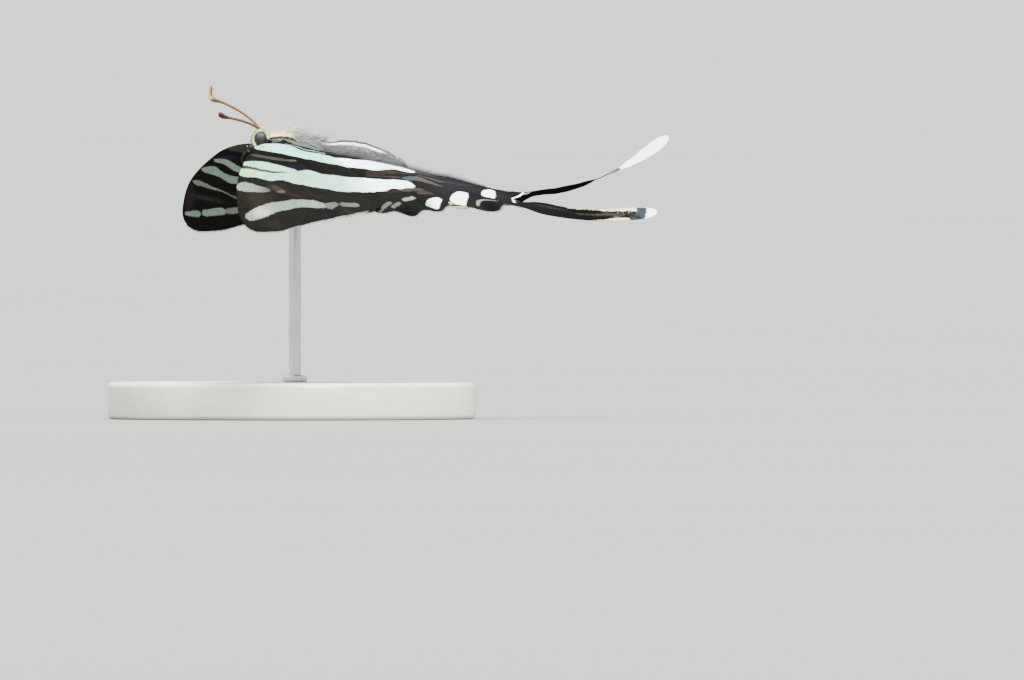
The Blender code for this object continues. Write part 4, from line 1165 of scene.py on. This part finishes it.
def add_skin():
    points, faces = body_skin()
    piece = add_piece("body_skin", to_world(points), faces, SKIN)
    flesh = ["head", "thorax", "abdomen", "palp_left", "palp_right"]
    flesh += ["leg_" + pair + "_" + side for pair in LEG_SHAPES for side in SIGN]
    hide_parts(*flesh)
    set_field(piece, "tone", body_tone(points))
    set_field(piece, "place", points)
    return points, faces


# Hair as thin three-sided blades
BLADE_FACES = [(2, 1, 0), (0, 1, 4, 3), (1, 2, 5, 4), (2, 0, 3, 5), (3, 4, 6), (4, 5, 6), (5, 3, 6)]
BLADE_POINTS = 7
# A blade's own small patch on the bake map
BLADE_PATCH = [
    (0, 0), (0.003, 0), (0.0015, 0.001), (0, 0.0018), (0.003, 0.0018), (0.0015, 0.0024), (0.0015, 0.003),
]


def blades(roots, ways, ups, lengths, widths, bend):
    """Points and faces of a tapered blade for each root, bent towards its up or, below 0, from it."""
    side = unit(np.cross(ways, ups))
    rise = unit(np.cross(side, ways))
    rows = []
    for share, taper in ((-0.12, 1.0), (0.45, 0.8)):
        centre = roots + (ways * share + rise * bend * share * share) * lengths[:, None]
        for angle in turns(3):
            out = side * math.cos(angle) + rise * math.sin(angle) * 0.6
            rows.append(centre + out * np.reshape(widths * taper / 2, (-1, 1)))
    rows.append(roots + (ways + rise * bend) * lengths[:, None])
    firsts = range(0, BLADE_POINTS * len(roots), BLADE_POINTS)
    faces = [tuple(first + k for k in face) for first in firsts for face in BLADE_FACES]
    return np.stack(rows, 1).reshape(-1, 3), faces


def add_hair(name, roots, ways, ups, lengths, widths, tones, places, uv, bend=-0.12):
    """One piece of many blades, each a small patch at its root's place on the bake map."""
    points, faces = blades(roots, ways, ups, lengths, widths, bend)
    piece = add_piece(name, points, faces, HAIR)

    def spread(values, steps):
        """Each root's values for the points of its blade, with these steps added."""
        return np.repeat(values, BLADE_POINTS, 0) + np.tile(steps, (len(roots), 1))

    set_field(piece, "tone", np.repeat(np.clip(tones, 0, 1), BLADE_POINTS, 0))
    set_field(piece, "place", spread(places, np.linspace(0, 0.1, BLADE_POINTS)[:, None]))
    set_bake_map(piece, spread(uv, BLADE_PATCH), 0)


def scatter(points, faces, density, chooser):
    """Random places on a skin in the body's mm, where chooser says how dense: places and normals."""
    triangles = np.array([f[:3] for f in faces] + [(f[0], f[2], f[3]) for f in faces if len(f) > 3])
    a, b, c = (points[triangles[:, k]] for k in range(3))
    cross = np.cross(b - a, c - a)
    area = np.linalg.norm(cross, axis=1) / 2
    count = int(area.sum() * density)
    chosen = rng.choice(len(triangles), count, p=area / area.sum())
    u, v = rng.random(count), rng.random(count)
    flip = u + v > 1
    u, v = np.where(flip, 1 - u, u), np.where(flip, 1 - v, v)
    places = a[chosen] + (b - a)[chosen] * u[:, None] + (c - a)[chosen] * v[:, None]
    normals = unit(cross[chosen])
    keep = rng.random(count) < chooser(places)
    return places[keep], normals[keep]


def body_uv(places):
    """An unwrap of the body's skin: round it one way, along it the other."""
    turn = np.arctan2(places[:, 1], places[:, 2]) / (2 * math.pi) + 0.5
    return np.stack([turn * 0.98 + 0.005, (places[:, 0] + 9) / 30 * 0.98 + 0.005], -1)


def add_coat(name, points, faces, density, chooser, flow, lift, length, width, shades):
    """Hair over part of the skin: flow and lift give its lie, shades its shares of dark and white ones."""
    places, normals = scatter(points, faces, density, chooser)
    count = len(places)
    ways = flow(places)
    ways = ways - normals * (ways * normals).sum(1)[:, None]
    ways = unit(ways) + rng.normal(0, 0.16, (count, 3))
    lifts = np.tan(np.radians(lift)) * rng.uniform(0.6, 1.4, count)
    ways = unit(unit(ways) + normals * lifts[:, None])
    lengths = length(places) * rng.uniform(0.7, 1.25, count)
    widths = width * rng.uniform(0.7, 1.2, count)
    tones = body_tone(places)
    stray = rng.random(count)
    tones = tones * rng.uniform(0.75, 1.25, count)[:, None]
    tones[stray < shades[0]] = SHADE_HAIR
    tones[stray > 1 - shades[1]] = WHITE_HAIR
    world = to_world(places)
    turn = to_world([0.0, 0, 0])
    add_hair(name, world, to_world(ways) - turn, to_world(normals) - turn, lengths, widths, tones, places,
             body_uv(places))


def rearward(places):
    """Back along the body, and down its sides."""
    side = np.clip(np.abs(places[:, 1]) / 2, 0, 1)
    return np.stack([np.ones(len(places)), 0.15 * np.sign(places[:, 1]), -0.5 * side], -1)


def off_wing_roots(places):
    """Fewer hairs where the wings leave the thorax."""
    at_root = (places[:, 0] > -3.2) & (np.abs(places[:, 2]) < 0.55) & (np.abs(places[:, 1]) > 1.4)
    return np.where(at_root & (places[:, 0] < 5), 0.35, 1.0)


def all_over(length):
    """A coat's length, the same everywhere."""
    return lambda places: np.full(len(places), length)


def add_coats(points, faces):
    def thorax(p):
        trunk = ramp(p[:, 0], -4.0, -3.6) * (1 - ramp(p[:, 0], 4.6, 5.4)) * ramp(p[:, 2], -3.2, -2.6)
        return trunk * off_wing_roots(p) * np.where(p[:, 0] < -0.5, 0.8, 1.0)

    def long_behind(p):
        return 0.5 + (0.95 + 0.6 * ramp(p[:, 2], 0.6, 1.3)) * ramp(p[:, 0], -2.2, -0.7)

    add_coat("hair_thorax", points, faces, 62, thorax, rearward, 52, long_behind, 0.04, (0.22, 0.16))

    def abdomen(p):
        return ramp(p[:, 0], 4.6, 5.4) * (np.hypot(p[:, 1], p[:, 2] - 0.5) < 2.5)

    add_coat("hair_abdomen", points, faces, 60, abdomen, rearward, 12, all_over(0.42), 0.055, (0.03, 0.02))

    def crown(p):
        return (1 - ramp(p[:, 0], -4.4, -3.9)) * (from_eye(p) > 0.8)

    def from_face(p):
        away = p - HEAD
        return np.stack([-0.6 + 0 * away[:, 0], away[:, 1] * 0.4, away[:, 2] * 0.5], -1)

    add_coat("hair_head", points, faces, 80, crown, from_face, 38, all_over(0.34), 0.045, (0.08, 0.08))

    def legs(p):
        return np.where((p[:, 2] < -3.3) | (np.abs(p[:, 1]) > 2.75), 1.0, 0.0) * (p[:, 2] < -1.0)

    add_coat("hair_legs", points, faces, 30, legs, rearward, 45, all_over(0.2), 0.03, (0.2, 0.1))


# Hair along the wings' edges
def add_wing_hair(name, roots, ways, ups, lengths, width, tones, flat, bend):
    """Hair that takes its places from where its roots lie on the flat wing."""
    places = np.concatenate([flat, np.zeros((len(flat), 1))], 1)
    add_hair(name, roots, ways, ups, lengths, width, tones, places, flat_uv(flat, 0), bend)


def add_fringe(kind, side):
    """Short scale hairs along the outer edge, pale between the veins and dark at their ends."""
    hind = kind == "hindwing"
    outline, veins = wing_plan(hind, side)
    outline = smooth(outline, 0.06)
    ahead = np.roll(outline, -2, 0) - np.roll(outline, 2, 0)
    outward = unit(np.stack([ahead[:, 1], -ahead[:, 0]], -1))
    s, x = outline.T
    if hind:
        keep = (x > 9.4) & (s > 3.2) & ~((s < 5) & (x < 33.5))
    else:
        keep = ((s > 38) & (x > -12.6)) | ((s > 28) & (x > -3) & (x < 9.6))
    keep &= np.arange(len(outline)) > 3
    flat, outward, x = outline[keep], outward[keep], x[keep]
    gap = np.min([np.linalg.norm(flat - vein[-1], axis=1) for vein in veins], axis=0)
    count = len(flat)
    on_tail = hind & (x > TAIL_ROOT_X)
    layer = np.full(count, -LAYER if hind else LAYER)
    roots = sheet_point(side, flat, layer, hind)
    ends = flat + (outward + rng.normal(0, 0.25, (count, 2))) * 0.3
    ways = unit(sheet_point(side, ends, layer + rng.normal(0, 0.05, count), hind) - roots)
    ups = unit(sheet_point(side, flat, layer + 0.5, hind) - roots)
    lengths = rng.uniform(0.28, 0.55, count) * np.where(on_tail, 0.25, 1.0)
    if not hind:
        lengths *= 1 + 0.7 * ramp(x, 1.5, 4.5)
    tones = np.tile(FRINGE_TONE[kind], (count, 1))
    tones[gap < 1.1] = seen(50, 48, 44)
    tones[on_tail & (x < 44)] = seen(44, 42, 42)
    tones[on_tail & (x > 50)] = seen(226, 228, 216)
    tones *= rng.uniform(0.7, 1.2, count)[:, None]
    add_wing_hair("fringe_" + kind + "_" + side, roots, ways, ups, lengths, 0.06, tones, flat, 0.0)


def add_inner_hair(side):
    """Long fine hair along the hindwing's inner edge."""
    edge = smooth(HINDWING_INNER, 0.018)
    edge = edge[(edge[:, 1] < 31) & (edge[:, 1] > 4.4)]
    count = len(edge)
    flat = edge + np.stack([rng.uniform(0.0, 0.9, count), rng.normal(0, 0.1, count)], -1)
    layer = np.full(count, -LAYER + HALF_THICK)
    roots = sheet_point(side, flat, layer, True)
    ahead = flat + np.stack([rng.normal(-0.25, 0.3, count), np.ones(count)], -1)
    raised = layer + rng.uniform(0.05, 1.0, count)
    ways = unit(sheet_point(side, np.maximum(ahead, [-1, -np.inf]), raised, True) - roots)
    ups = np.tile([0.0, 0.0, 1.0], (count, 1))
    lengths = rng.uniform(0.8, 2.0, count) * (1 - 0.6 * ramp(flat[:, 1], 24, 31))
    tones = np.where((rng.random(count) < 0.3)[:, None], seen(100, 100, 106), seen(196, 198, 200))
    tones = tones * rng.uniform(0.8, 1.15, count)[:, None]
    add_wing_hair("hair_inner_" + side, roots, ways, ups, lengths, 0.045, tones, flat, 0.1)


# Eyes, feelers and tongue
def add_eye(side):
    bm = bmesh.new()
    bmesh.ops.create_icosphere(bm, subdivisions=6, radius=1)
    bmesh.ops.scale(bm, vec=EYE_RADII, verts=bm.verts)
    points = np.array([list(v.co) for v in bm.verts]) + EYE_AT * [1, SIGN[side], 1]
    faces = [[v.index for v in f.verts] for f in bm.faces]
    bm.free()
    piece = add_piece("eye_faceted_" + side, to_world(points), faces, EYE)
    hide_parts("eye_" + side)
    set_field(piece, "place", points)


ANTENNA_REACH = {
    "left": ((-7.3, -10.2, 2.1), (-0.8, -1.1, 0.5)),
    "right": ((-6.95, 9.2, 5.2), (0.05, 0.4, 2.05)),
}
ANTENNA_ARCH = {"left": [(0.3, 0.35), (0.65, 0.28)], "right": [(0.14, 0.6), (0.4, 0.85), (0.75, 0.5)]}
ANTENNA_RADII = [(0, 0.24), (0.06, 0.2), (0.75, 0.22), (0.86, 0.33), (0.95, 0.44), (0.99, 0.3), (1, 0.1)]
ANTENNA_JOINTS, ANTENNA_SIDES = 34, 16
ANTENNA_ORANGE = seen(206, 138, 62, SIDE_LIGHT)
ANTENNA_CLUB = {"left": seen(150, 62, 34, SIDE_LIGHT), "right": seen(206, 122, 46, SIDE_LIGHT)}
# A painted highlight for the far feeler's club
ANTENNA_HIGHLIGHT = seen(232, 222, 150, SIDE_LIGHT)
TONGUE_TONE = seen(24, 21, 21, SIDE_LIGHT)
COIL_START, COIL_TURNS, COIL_STEPS = math.radians(70), 1.6, 260
COIL_RADII = (1.45, 0.4)


def add_antenna(side):
    """A jointed shaft that swells to a club bent a little up."""
    root = to_world(np.array([[HEAD[0] - 0.2, SIGN[side] * 0.45, HEAD[2] + 1.62]]))[0]
    along, club = (np.array(v) for v in ANTENNA_REACH[side])
    arch = [root + along * share + [0, 0, rise] for share, rise in ANTENNA_ARCH[side]]
    line = smooth([root, *arch, root + along, root + along + club], 0.055)
    share = np.linspace(0, 1, len(line))
    step = (share * ANTENNA_JOINTS) % 1
    joints = 1 + 0.12 * np.sin(np.pi * step) ** 0.6 - 0.06
    rows, faces, shares = tube_rings(line, keyed(ANTENNA_RADII, share) * joints, ANTENNA_SIDES)
    piece = add_piece("feeler_" + side, rows, faces, ANTENNA)
    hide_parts("antenna_" + side)
    set_field(piece, "place", rows)
    set_field(piece, "along", shares)
    tone = np.tile(ANTENNA_ORANGE, (len(rows), 1))
    tone = tone + (ANTENNA_CLUB[side] - tone) * ramp(shares, 0.72, 0.88)[:, None]
    # A painted highlight down the side of the far feeler's club that faces the head
    if side == "right":
        centres = np.repeat(line, ANTENNA_SIDES, 0)
        highlight_share = ramp(centres[:, 0] - rows[:, 0], 0.0, 0.2) * ramp(shares, 0.88, 0.93)
        tone = tone + (ANTENNA_HIGHLIGHT - tone) * highlight_share[:, None]
    set_field(piece, "tone", tone)


def add_tongue():
    """The proboscis, coiled like a watch spring under the face."""
    rows = []
    for i in range(COIL_STEPS + 1):
        t = i / COIL_STEPS
        angle = COIL_START + 2 * math.pi * COIL_TURNS * t
        radius = COIL_RADII[0] + (COIL_RADII[1] - COIL_RADII[0]) * t
        rows.append(HEAD + [-0.9, 0, -3.6] + radius * np.array([math.cos(angle), 0, math.sin(angle)]))
    lead = smooth([HEAD + [-0.9, 0, -1.2], HEAD + [-0.6, 0, -1.7], rows[0]], 0.05)
    line = to_world(np.vstack([lead[:-1], rows]))
    share = np.linspace(0, 1, len(line))
    tube, faces, shares = tube_rings(line, keyed([(0, 0.24), (0.9, 0.16), (1, 0.08)], share), 14)
    piece = add_piece("tongue", tube, faces, TONGUE)
    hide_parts("proboscis")
    set_field(piece, "place", tube)
    set_field(piece, "along", shares)
    set_field(piece, "tone", np.tile(TONGUE_TONE, (len(tube), 1)))


# The stand
BASE_RADIUS, BASE_THICK = 30.0, 6.0
COLLAR_RADIUS, COLLAR_HIGH = 2.0, 1.2
ROD_X = 0.5


def turned(name, profile, centre_x, material, sides=192):
    """A turned form from (radius, height) rows, closed at both ends."""
    points = []
    for radius, height in profile:
        points += [(centre_x + radius * math.cos(t), radius * math.sin(t), height) for t in turns(sides)]
    piece = add_piece(name, points, ring_faces(len(profile), sides), material)
    piece.data.set_sharp_from_angle(angle=math.radians(35))
    return piece


def rounded(radius, low, high, corner):
    """A side's profile with rounded corners, from its foot to its top."""
    rows = []
    for centre, start in ((low + corner, -90), (high - corner, 0)):
        for k in range(7):
            angle = math.radians(start + 15 * k)
            rows.append((radius - corner + corner * math.cos(angle), centre + corner * math.sin(angle)))
    return rows


def add_stand():
    base = turned("base_turned", rounded(BASE_RADIUS, 0.0, BASE_THICK, 0.8), 0.0, LACQUER)
    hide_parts("stand_base")
    collar = rounded(COLLAR_RADIUS, BASE_THICK, BASE_THICK + COLLAR_HIGH, 0.35)
    turned("rod_collar", collar, ROD_X, STEEL, 64)
    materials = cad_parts["stand_rod"].data.materials
    materials.clear()
    materials.append(STEEL)


# Camera, light and floor
PIXEL = 0.163  # mm of the butterfly for each pixel of the photograph
FRAME_WIDTH = 1024
AZIMUTH, ELEVATION = math.radians(-7.4), math.radians(0.31)
LENS, SENSOR = 1000.0, 36.0
HINGES_AT, MIDDLE_AT = (292, 143), (512, 340)  # pixels of the photograph


def add_turned_object(name, data, back):
    """An object whose own Z points along back; a camera or a light looks the other way."""
    made = add_object(name, data)
    made.rotation_mode = "QUATERNION"
    made.rotation_quaternion = back.to_track_quat("Z", "Y")
    return made


def add_camera():
    back = Vector((math.sin(AZIMUTH) * math.cos(ELEVATION), -math.cos(AZIMUTH) * math.cos(ELEVATION),
                   math.sin(ELEVATION)))
    right = Vector((math.cos(AZIMUTH), math.sin(AZIMUTH), 0))
    up = back.cross(right)
    aim_right, aim_down = ((middle - hinges) * PIXEL for middle, hinges in zip(MIDDLE_AT, HINGES_AT))
    aim = (Vector((0, 0, HINGE_HEIGHT)) + right * aim_right - up * aim_down) * MM
    data = bpy.data.cameras.new("camera")
    data.lens = LENS
    data.sensor_width = SENSOR
    data.clip_start, data.clip_end = 0.1, 200
    camera = add_turned_object("camera", data, back)
    camera.location = aim + back * (FRAME_WIDTH * PIXEL * MM * LENS / SENSOR)
    bpy.context.scene.camera = camera


SUN_FROM = (0.12, -0.42, 1.0)
SUN_POWER, SUN_SOFTNESS = 15.7, math.radians(18)
SKY_LEVEL, SKY_TOP = 1.33, 2.6  # brightness at the horizon and overhead
FLOOR_REACH, FLOOR_FLAT, FLOOR_RISE = 40.0, 15.0, 3.0  # metres


def add_sun():
    data = bpy.data.lights.new("sun", "SUN")
    data.energy = SUN_POWER
    data.angle = SUN_SOFTNESS
    data.color = (1.0, 0.985, 0.96)
    add_turned_object("sun", data, Vector(SUN_FROM))


def add_sky():
    """Even studio light, as bright at the horizon as the floor and brighter overhead."""
    world = bpy.data.worlds.new("studio")
    world.use_nodes = True
    nodes, links = world.node_tree.nodes, world.node_tree.links
    place = nodes.new("ShaderNodeTexCoord")
    height = nodes.new("ShaderNodeSeparateXYZ")
    level = nodes.new("ShaderNodeMapRange")
    level.interpolation_type = "SMOOTHSTEP"
    for socket, value in (("From Max", 0.6), ("To Min", SKY_LEVEL), ("To Max", SKY_TOP)):
        level.inputs[socket].default_value = value
    links.new(place.outputs["Generated"], height.inputs[0])
    links.new(height.outputs["Z"], level.inputs["Value"])
    links.new(level.outputs[0], nodes["Background"].inputs["Strength"])
    nodes["Background"].inputs["Color"].default_value = (0.97, 0.985, 1.0, 1)
    bpy.context.scene.world = world


def add_floor():
    """Pale paper that curves up far away, so that no edge shows."""
    made, node, wire = new_material("floor_paper", 0.85, Specular_IOR_Level=0.1)
    cloud = noise(node, 3.0, 2.0, node("ShaderNodeTexCoord").outputs["Object"])
    wire(Base_Color=mix_colour(node, cloud, rgb(121, 121, 119), rgb(125, 125, 124)))
    points = []
    radii = (0.5, FLOOR_FLAT, *np.linspace(FLOOR_FLAT + 2.5, FLOOR_REACH, 11))
    for radius in radii:
        rise = FLOOR_RISE * max((radius - FLOOR_FLAT) / (FLOOR_REACH - FLOOR_FLAT), 0) ** 2
        points += [(radius * math.cos(t), radius * math.sin(t), rise) for t in turns(64)]
    faces = [face[::-1] for face in ring_faces(len(radii), 64)[:-1]]
    floor = add_form("floor", points, faces, made, 1)


WING = wing_material()
SKIN = coat_material("body_skin", 0.7)
HAIR = coat_material("hair", 0.55)
EYE = eye_material()
ANTENNA = ringed_material("feeler", 0.5, ANTENNA_JOINTS)
TONGUE = ringed_material("tongue", 0.6, 90)
LACQUER = lacquer_material()
STEEL = steel_material()

add_camera()
add_sun()
add_sky()
add_floor()
add_stand()
for wing_side in SIGN:
    for wing_kind in ("forewing", "hindwing"):
        add_wing(wing_kind, wing_side)
        add_fringe(wing_kind, wing_side)
    add_inner_hair(wing_side)
    add_eye(wing_side)
    add_antenna(wing_side)
add_tongue()
skin_points, skin_faces = add_skin()
add_coats(skin_points, skin_faces)
